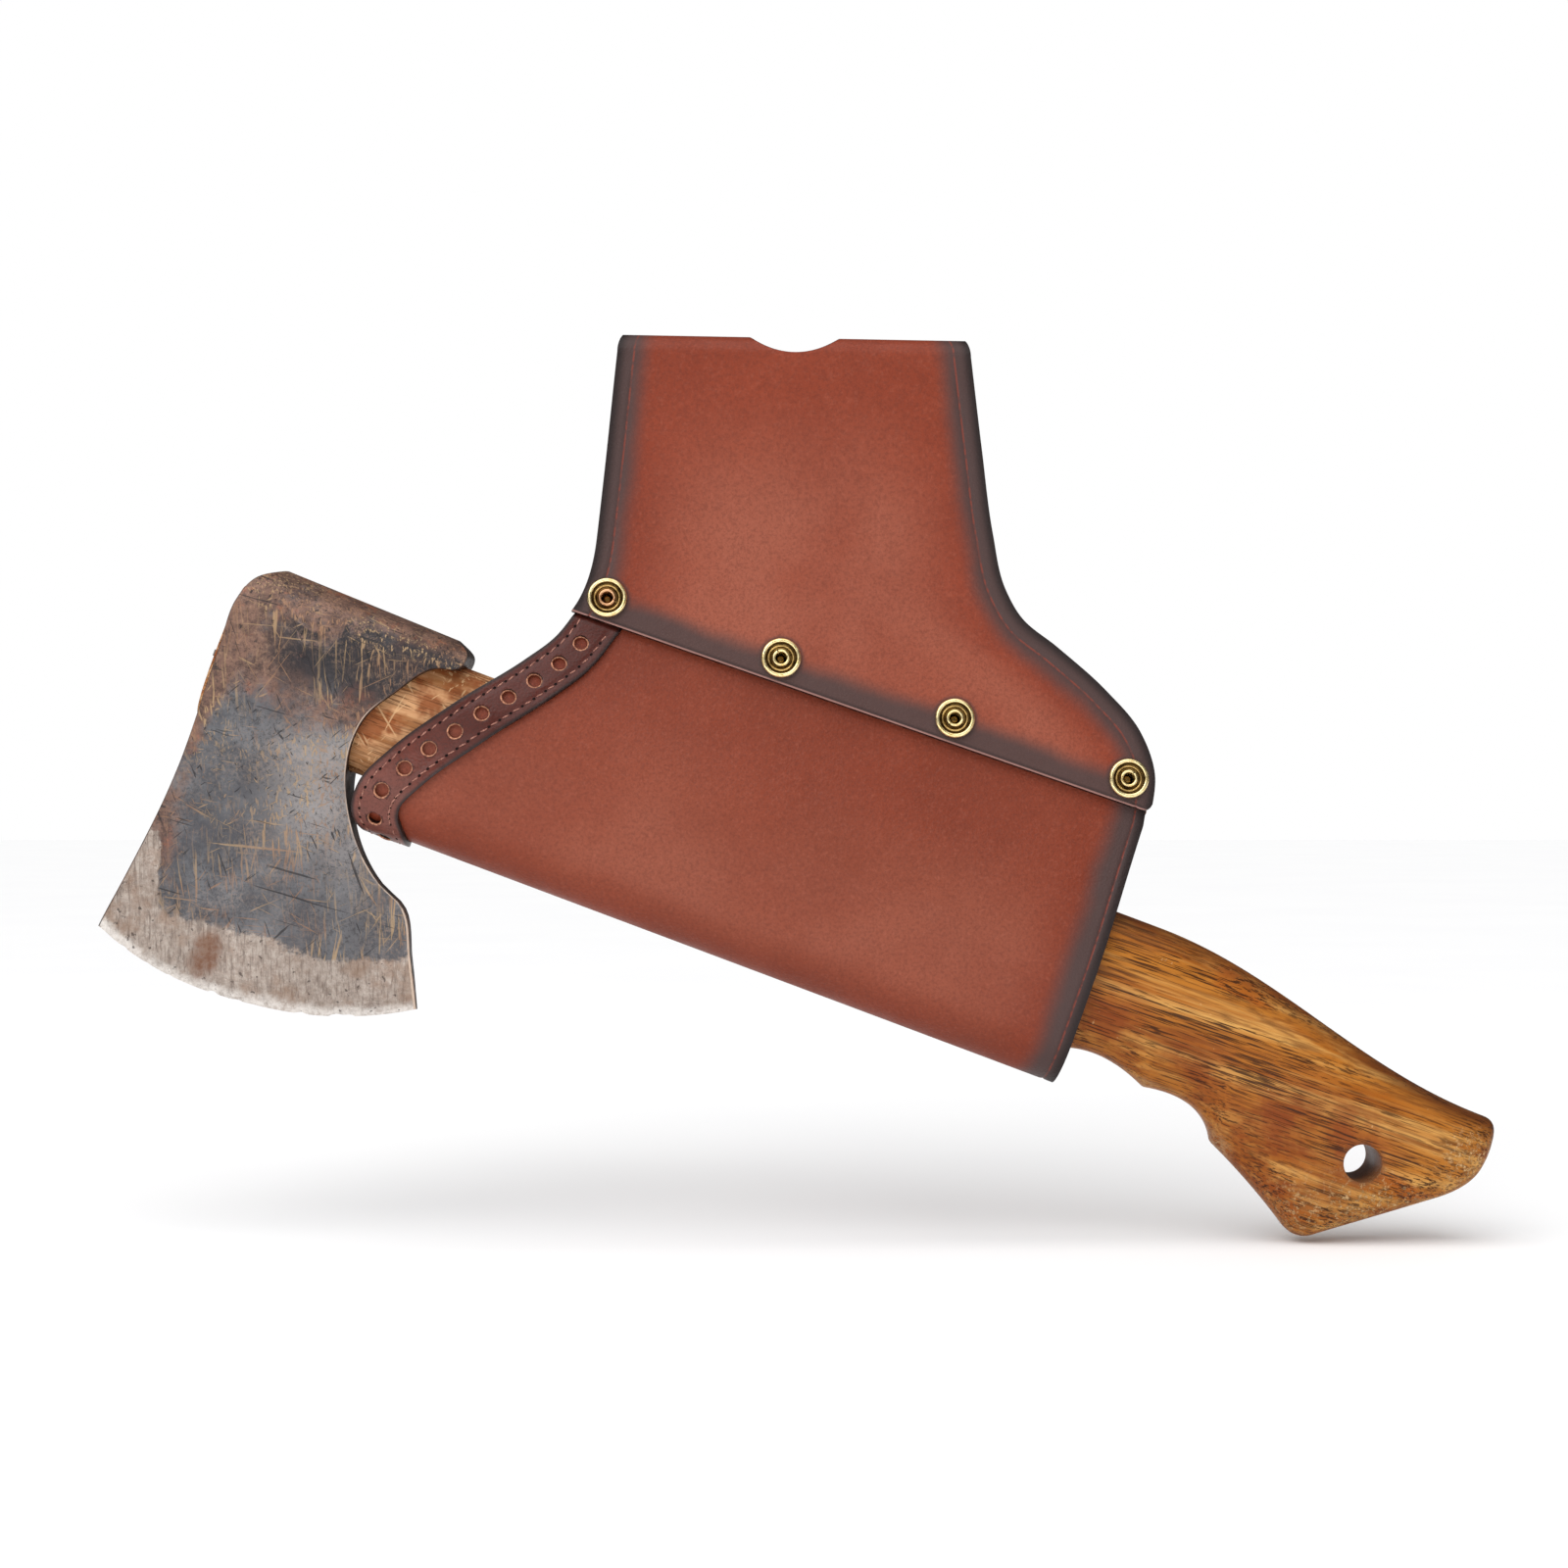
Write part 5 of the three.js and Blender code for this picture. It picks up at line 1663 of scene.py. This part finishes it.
class Snaps:
    """Four snap fasteners: a ringed dish and a rolled post on the flap, a stud and its rivet on the wrap."""

    count = 4
    ring_middle = 1.2
    leather = 2.8
    wrap_face = -3.3
    split_turns = (0.0, 137.0, 248.0, 70.0)
    coppery = 1

    def __init__(self, sleeve: Sleeve, frame: CarrierFrame) -> None:
        """Finds each snap's place from its ring in the frame."""
        lean = math.atan(sleeve.lap_slope)
        outward = frame.turn() @ Vector((0.0, -math.cos(lean), math.sin(lean)))
        along = frame.turn() @ Vector((1.0, 0.0, 0.0))
        turn = Matrix((along, outward.cross(along), outward)).transposed().to_4x4()
        self.places = []
        for number in range(1, self.count + 1):
            low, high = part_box(f"snap_ring_{number}")
            middle = (low + high) / 2
            self.places.append(Matrix.Translation(middle - outward * self.ring_middle * MM) @ turn)

    def cutter(self, steps: list[tuple[float, float, float]]) -> list[bpy.types.Object]:
        """A stepped plug at every snap: each step is its radius and its two heights."""
        outline = [(0.0, steps[0][1])]
        for radius, low, high in steps:
            outline += [(radius, low), (radius, high)]
        outline.append((0.0, steps[-1][2]))
        plug = turned("snap_room", outline, 32)
        plugs = [set_down(copy_of(plug, "snap_room"), place) for place in self.places]
        bpy.data.objects.remove(plug, do_unlink=True)
        return [joined("snap_rooms", plugs)]

    def flap_room(self) -> list[bpy.types.Object]:
        """The post's hole and its flange's pocket in the flap."""
        return self.cutter([(4.5, -4.2, -2.0), (2.6, -2.0, 1.0)])

    def wrap_room(self) -> list[bpy.types.Object]:
        """The rivet's hole and the stud's pocket in the wrap."""
        return self.cutter([(1.9, -8.5, -4.15), (4.5, -4.15, -2.4)])

    @staticmethod
    def arc(middle: tuple[float, float], radius: float, start: float, end: float, count: int) -> list:
        """Outline points on an arc, angles in degrees from the outward direction up."""
        turn = np.radians(np.linspace(start, end, count))
        return [(middle[0] + radius * math.cos(a), middle[1] + radius * math.sin(a)) for a in turn]

    def ring(self) -> bpy.types.Object:
        """A rounded rim round a dished floor with a low bead."""
        outline = [(2.75, 0.12), (5.6, 0.12)]
        outline += self.arc((5.35, 1.15), 0.75, -60, 205, 14)
        outline += [(4.55, 0.62), (4.25, 0.55)]
        outline += self.arc((3.8, 0.7), 0.4, 10, 170, 8)
        outline += [(3.2, 0.6), (2.75, 0.55)]
        return turned("snap_ring", outline, 56)

    def post(self) -> bpy.types.Object:
        """A tube rolled outwards over the dish, its lip split where it was crimped."""
        outline = [(1.75, -2.7), (4.15, -2.7), (4.2, -2.45), (4.05, -2.22), (2.4, -2.1), (2.3, -1.9), (2.3, 0.9)]
        outline += self.arc((2.22, 1.3), 0.46, -50, 170, 10)
        outline += [(1.75, 1.1)]
        post = turned("snap_post", outline, 44)
        split = primitive("split", bpy.ops.mesh.primitive_cube_add, size=1.0)
        with editing(split):
            bpy.ops.transform.resize(value=(2.4 * MM, 0.42 * MM, 1.9 * MM))
            bpy.ops.transform.translate(value=(2.3 * MM, 0.0, 1.5 * MM))
        carve(post, split)
        return post

    def middles(self) -> tuple[Vector, ...]:
        """Where the snaps sit on the flap's face, in metres."""
        return tuple(place.translation.copy() for place in self.places)

    def stud(self) -> bpy.types.Object:
        """A ball stud on a round flange."""
        face = self.wrap_face
        outline = [(0.0, face - 0.9), (1.0, face - 0.9), (1.0, face - 2.4), (1.55, face - 2.4), (1.6, face - 0.62),
                   (4.1, face - 0.58), (4.2, face - 0.35), (4.05, face - 0.1), (1.5, face + 0.0), (1.05, face + 0.4)]
        outline += self.arc((0.55, face + 1.15), 0.66, -40, 90, 8)
        outline += [(0.0, face + 1.82)]
        return turned("snap_stud", outline, 44)

    def rivet(self) -> bpy.types.Object:
        """The domed rivet head inside the sleeve."""
        back = self.wrap_face - self.leather
        outline = [(0.0, back + 1.4), (0.7, back + 1.35), (0.7, back - 0.25), (3.7, back - 0.3), (3.72, back - 0.5)]
        outline += [(3.2, back - 0.78), (2.0, back - 0.92), (0.0, back - 0.98)]
        return turned("stud_rivet", outline, 44)

    def build(self) -> None:
        """Turns each kind of piece once and sets a copy at every snap."""
        bright = BrassFinish("bright_brass", (252, 232, 176), (222, 190, 120), 0.26).material()
        antique = BrassFinish("antique_brass", (124, 98, 54), (62, 46, 26), 0.3).material()
        worn = BrassFinish("worn_brass", (206, 172, 108), (128, 98, 52), 0.3).material()
        copper = BrassFinish("copper_post", (226, 178, 134), (180, 128, 90), 0.28).material()
        ring = self.ring()
        dress(ring, bright, worn, antique)
        for face in ring.data.polygons:
            out = math.hypot(face.center.x, face.center.y)
            on_bead = 3.45 * MM < out < 4.15 * MM and face.center.z > 0.8 * MM
            face.material_index = 0 if out > 4.95 * MM else 1 if on_bead else 2
        kinds = ((ring, "flap", "snap_ring", None), (self.post(), "flap", "snap_post", bright),
                 (self.stud(), "wrap", "snap_stud", antique), (self.rivet(), "wrap", "stud_rivet", bright))
        for template, body, node, finish in kinds:
            if finish:
                dress(template, finish)
            smooth(template, 55)
            for number, (place, turn) in enumerate(zip(self.places, self.split_turns), 1):
                roll = Matrix.Rotation(math.radians(turn), 4, "Z")
                piece = set_down(copy_of(template, f"{node}_turned_{number}"), place @ roll)
                seat(piece, body, "snap_brass", f"{node}_{number}")
                if node == "snap_post" and number == self.coppery:
                    dress(piece, copper)
            bpy.data.objects.remove(template, do_unlink=True)


# ---- the axe ---------------------------------------------------------------------------------------------------------


class Haft:
    """The haft: straight through the sleeve, with finger grooves and a knob drilled for a lanyard."""

    start = -131.0
    top = 129.9
    belly = 175.1
    end = 285.6
    thickness = 23.0
    middle = -7.2
    hole_radius = 5.8
    hole = (248.9, 175.2)
    sides = 72
    squareness = 2.55

    def __init__(self, frame: CarrierFrame) -> None:
        """Draws the side view's two edges and the half thickness."""
        self.frame = frame
        top, belly, end = self.top, self.belly, self.end
        self.top_line = np.vstack([
            [(-140.0, top), (160.0, top)],
            bezier((168, top), (208, top), (240, top + 19.2), (end - 4, top + 19.2), count=60),
            bezier((end - 4, top + 19.2), (end, top + 19.4), (end + 0.01, top + 25), count=14)[1:],
        ])
        self.belly_line = np.vstack([
            [(-140.0, belly - 3), (-60.0, belly - 3), (60.0, belly)],
            bezier((152, belly), (164, belly - 5), (179.9, belly + 2.3), count=40),
            bezier((180.1, belly + 2.3), (199, belly - 1.4), (205.4, belly + 11), count=40),
            bezier((205.6, belly + 11), (222, belly + 18.4), (235, belly + 27), count=30),
            bezier((235, belly + 27), (240.5, belly + 30), (245, belly + 26), count=16)[1:],
            [(276.0, belly + 2.4)],
            bezier((276, belly + 2.4), (end + 0.5, belly - 5.5), (end, belly - 13), count=16)[1:],
        ])
        shares = [(-140, 0.86), (-95, 0.88), (-70, 0.97), (0, 0.94), (120, 0.92), (200, 0.97), (240, 1.0), (270, 0.98),
                  (277, 0.9), (281.5, 0.76), (284.3, 0.58), (end, 0.36)]
        self.half_line = smooth_line([(x, share * self.thickness / 2) for x, share in shares])

    def loops(self, along: Array, margin: float) -> tuple[Array, Array]:
        """Rounded-oval loops of the haft.

        Args:
            along: where the loops lie.
            margin: how much to grow them.

        Returns:
            Places in metres, and how far each is below the top edge and above the belly edge.
        """
        top = np.interp(along, self.top_line[:, 0], self.top_line[:, 1])[:, None] - margin
        belly = np.interp(along, self.belly_line[:, 0], self.belly_line[:, 1])[:, None] + margin
        half = np.interp(along, self.half_line[:, 0], self.half_line[:, 1])[:, None] + margin
        turn = (np.arange(self.sides) + 0.5)[None, :] / self.sides * 2 * math.pi
        across = np.sign(np.cos(turn)) * np.abs(np.cos(turn)) ** (2 / self.squareness)
        up = np.sign(np.sin(turn)) * np.abs(np.sin(turn)) ** (2 / self.squareness)
        down = (top + belly) / 2 - up * (belly - top) / 2
        places = self.frame.slanted(along[:, None], self.middle + across * half, down)
        return places, np.stack([down - top, belly - down]) * MM

    def stations(self) -> Array:
        """Where the loops lie: wide apart in the sleeve and close in the grip."""
        grip = np.concatenate([np.arange(150.0, 276.0, 0.8), np.arange(276.0, 284.0, 0.5),
                               np.array([284.3, 284.7, 285.0, 285.3, self.end])])
        return np.concatenate([np.linspace(self.start, 146.0, 70), grip])

    def build(self) -> None:
        """Carves the haft, drills it and dresses it."""
        along = self.stations()
        places, (crown, belly) = self.loops(along, 0.0)
        marks = {"along": np.repeat(along[:, None], self.sides, axis=1) * MM, "crown": crown, "belly": belly}
        piece = tube_mesh("haft_carved", places, marks)
        spot = self.frame.slanted(self.hole[0], self.middle, self.hole[1])
        carve(piece, drill("drill", 64, self.hole_radius, 60, spot))
        soften(piece, 0.6, 3, 42)
        dress(piece, HaftFinish(self.frame).material())
        seat(piece, "axe", "haft_wood", "haft")


class Head:
    """The bearded head: a thick eye, hollow cheeks and a bowed edge, forged from one bar."""

    poll_top = 121.3
    toe = (-137.2, 243.6)
    heel = (-36.6, 233.2)
    middle = -7.2
    half_eye = 15.2
    edge_half = 0.22
    edge_belly = 11.5
    poll_round = 0.13
    cuts = 88
    eye_gap = 0.3
    dents = ((85.0, 0.22), (230.0, 0.07))
    chips_from, chip_depth = 0.97, 1.7
    heel_drop = 1.6

    def __init__(self, frame: CarrierFrame, haft: Haft) -> None:
        """Draws the toe side, the heel side and the thickness from poll to edge."""
        self.frame = frame
        self.haft = haft
        top = self.poll_top
        self.toe_side = smooth_line([(-120.5, top), (-127, 126.5), (-129.8, 135), (-129.6, 150), (-129.4, 175),
                                     (-131.2, 200), (-134.2, 224), self.toe])
        self.heel_side = smooth_line([
            (-64, top + self.heel_drop), (-58.9, 126.4), (-59.4, 130.6), (-66.6, 133.4), (-75.3, 144.6), (-81, 154.4),
            (-82.3, 163), (-81.2, 172), (-77, 183), (-69.4, 193.8), (-60.6, 201), (-51.6, 205.2), (-43.4, 219.7),
            self.heel,
        ])
        self.thin = smooth_line([(0.13, 1.0), (0.2, 1.0), (0.33, 0.96), (0.42, 0.82), (0.49, 0.64), (0.56, 0.46),
                                 (0.64, 0.33), (0.74, 0.245), (0.86, 0.17), (0.93, 0.12), (0.985, 0.05), (1.0, 0.0)])

    def half(self, level: Array) -> Array:
        """Half the head's thickness at a level."""
        poll = np.sqrt(np.clip(1 - (1 - np.clip(level / self.poll_round, 0, 1)) ** 2, 0, 1))
        body = np.interp(level, self.thin[:, 0], self.thin[:, 1])
        return self.edge_half + (self.half_eye - self.edge_half) * np.where(level < self.poll_round, poll, body)

    def places(self, share: Array, level: Array, thick: Array) -> Array:
        """Places in the head.

        Args:
            share: 0 on the toe side to 1 on the heel side.
            level: 0 at the poll to 1 at the cutting edge.
            thick: -1 on the near cheek to 1 on the far one.

        Returns:
            The places in metres.
        """
        down_toe = self.poll_top + (self.toe[1] - self.poll_top) * level
        heel_top = self.poll_top + self.heel_drop
        down_heel = heel_top + (self.heel[1] - heel_top) * level
        start = np.interp(down_toe, self.toe_side[:, 1], self.toe_side[:, 0])
        end = np.interp(down_heel, self.heel_side[:, 1], self.heel_side[:, 0])
        bow = 1 - np.abs(2 * share - 1) ** 2.3
        down = down_toe + (down_heel - down_toe) * share + self.edge_belly * bow * level**5
        half = self.half(level) * (1 - 0.3 * (1 - bow) * level)
        along = start + (end - start) * share
        return self.frame.slanted(along, self.middle + thick * half, down)

    def wear(self, places: Array, level: Array, thick: Array) -> Array:
        """Hammer marks over the cheeks and small nicks in the edge."""
        out = places.copy()
        for i, (x, y, z) in enumerate(places):
            spot = Vector((x, y, z))
            dent = sum(noise.noise(spot * often) * deep for often, deep in self.dents)
            out[i, 1] += dent * MM * float(np.sign(thick[i])) * float(min(1.0, (1.0 - level[i]) * 12.0))
            if level[i] > self.chips_from:
                chip = max(0.0, noise.noise(Vector((x * 260.0, 3.1, z * 60.0))) - 0.16)
                out[i, 2] += chip * self.chip_depth * MM * (level[i] - self.chips_from) / 0.03
        return out

    def build(self) -> None:
        """Forges the head from a block, punches its eye and dresses it."""
        piece = primitive("head_forged", bpy.ops.mesh.primitive_cube_add, size=2.0)
        with editing(piece):
            bpy.ops.mesh.subdivide(number_cuts=self.cuts)
        block = vertices_of(piece)
        share = (block[:, 0] + 1) / 2
        level = np.clip((1 - block[:, 2]) / 2, 0, 1) ** 1.35
        thick = block[:, 1]
        places = self.wear(self.places(share, level, thick), level, thick)
        move_vertices(piece, places)
        mark(piece, "level", level)
        mark(piece, "share", share)
        stations = np.array([-150.0, -131.5, -100.0, -82.0, -70.0, -50.0, -20.0])
        eye = tube_mesh("eye_punch", self.haft.loops(stations, self.eye_gap)[0])
        carve(piece, eye)
        soften(piece, 0.7, 3, 38)
        dress(piece, ForgedFinish().material())
        seat(piece, "axe", "head_steel", "axe_head")


# ---- studio ----------------------------------------------------------------------------------------------------------


@dataclass
class Studio:
    """A pale floor, a white room and soft lamps, with the camera square to the flap."""

    camera_place: tuple[float, float, float] = (-0.0036, -0.8389, -0.1337)
    focal_length: float = 62.46
    sensor: float = 36.0
    floor_gap: float = 0.002
    sky: float = 0.45
    mirrored_sky: float = 0.1
    sun_power: float = 2.3
    sun_width: float = 75.0
    sun_from: tuple[float, float, float] = (-0.25, -0.55, 1.0)
    lamps: tuple[tuple[tuple[float, float, float], float, float, float], ...] = (
        ((-0.7, -1.1, 0.75), 0.9, 0.9, 4.0),
        ((-0.05, -0.75, -0.245), 1.3, 0.05, 1.3),
    )

    def room(self) -> None:
        """The white surroundings."""
        world = bpy.data.worlds.new("white_room")
        bpy.context.scene.world = world
        world.use_nodes = True
        tree = world.node_tree
        tree.nodes.clear()
        output = tree.nodes.new("ShaderNodeOutputWorld")
        path = tree.nodes.new("ShaderNodeLightPath")
        below = None
        for strength, ray in ((self.sky, None), (self.mirrored_sky, "Is Glossy Ray"), (1.0, "Is Camera Ray")):
            layer = tree.nodes.new("ShaderNodeBackground")
            layer.inputs["Strength"].default_value = strength
            layer.inputs["Color"].default_value = (1.0, 1.0, 1.0, 1.0)
            if ray:
                mix = tree.nodes.new("ShaderNodeMixShader")
                tree.links.new(path.outputs[ray], mix.inputs[0])
                tree.links.new(below, mix.inputs[1])
                tree.links.new(layer.outputs[0], mix.inputs[2])
                layer = mix
            below = layer.outputs[0]
        tree.links.new(below, output.inputs[0])

    def floor(self, lowest: float) -> None:
        """A wide pale floor just under the haft's lowest point."""
        floor = primitive("floor", bpy.ops.mesh.primitive_plane_add, size=12.0,
                          location=(0, 0, lowest - self.floor_gap))
        b = Bench("pale_floor")
        colour = b.blend(b.noise(6, 2, 0.5), (250, 250, 250), (246, 246, 247))
        dress(floor, b.done(colour, 0.9, gloss=0.1))
        floor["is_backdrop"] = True

    @staticmethod
    def hang(data: bpy.types.ID, place: Sequence[float], turn: Sequence[float]) -> bpy.types.Object:
        """Puts a lamp or the camera in the scene, at a place and turned by angles."""
        holder = bpy.data.objects.new(data.name, data)
        holder.location = place
        holder.rotation_euler = turn
        bpy.context.scene.collection.objects.link(holder)
        return holder

    def light(self, target: Vector) -> None:
        """Sets the lamps round the piece."""
        for number, (place, wide, high, power) in enumerate(self.lamps, 1):
            lamp = bpy.data.lights.new(f"softbox_{number}", "AREA")
            lamp.shape = "RECTANGLE"
            lamp.size, lamp.size_y = wide, high
            lamp.energy = power
            self.hang(lamp, place, (target - Vector(place)).to_track_quat("-Z", "Y").to_euler())
        sun = bpy.data.lights.new("overhead_sky", "SUN")
        sun.energy = self.sun_power
        sun.angle = math.radians(self.sun_width)
        self.hang(sun, (0, 0, 0), Vector(self.sun_from).to_track_quat("Z", "Y").to_euler())

    def camera(self) -> None:
        """Looks level, along +Y."""
        camera = bpy.data.cameras.new("camera")
        camera.lens = self.focal_length
        camera.sensor_width = self.sensor
        camera.clip_start = 0.01
        bpy.context.scene.camera = self.hang(camera, self.camera_place, (math.pi / 2, 0, 0))

    def build(self, box: tuple[Vector, Vector]) -> None:
        """Sets up the room, the floor, the lamps and the camera."""
        low, high = (Vector(corner) for corner in box)
        self.camera()
        self.room()
        self.floor(low.z)
        self.light((low + high) / 2)
        bpy.context.scene.view_settings.view_transform = "Standard"


def main() -> None:
    """Builds the studio, the carrier and the axe round the frame."""
    logging.basicConfig(level=logging.INFO, format="%(name)s: %(message)s")
    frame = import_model()
    cad_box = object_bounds()
    carrier_frame = CarrierFrame.from_joints(frame["joints"])
    Studio().build(cad_box)
    carrier = Carrier(carrier_frame)
    snaps = Snaps(carrier.sleeve, carrier_frame)
    carrier.build(snaps)
    MouthBand(carrier).build()
    snaps.build()
    haft = Haft(carrier_frame)
    haft.build()
    Head(carrier_frame, haft).build()
    dress(frame["nodes"]["eye_wedge"], EndGrainFinish(carrier_frame).material())
    dress(frame["nodes"]["steel_wedge"], WEDGE_STEEL.material())


if __name__ == "__main__":
    main()
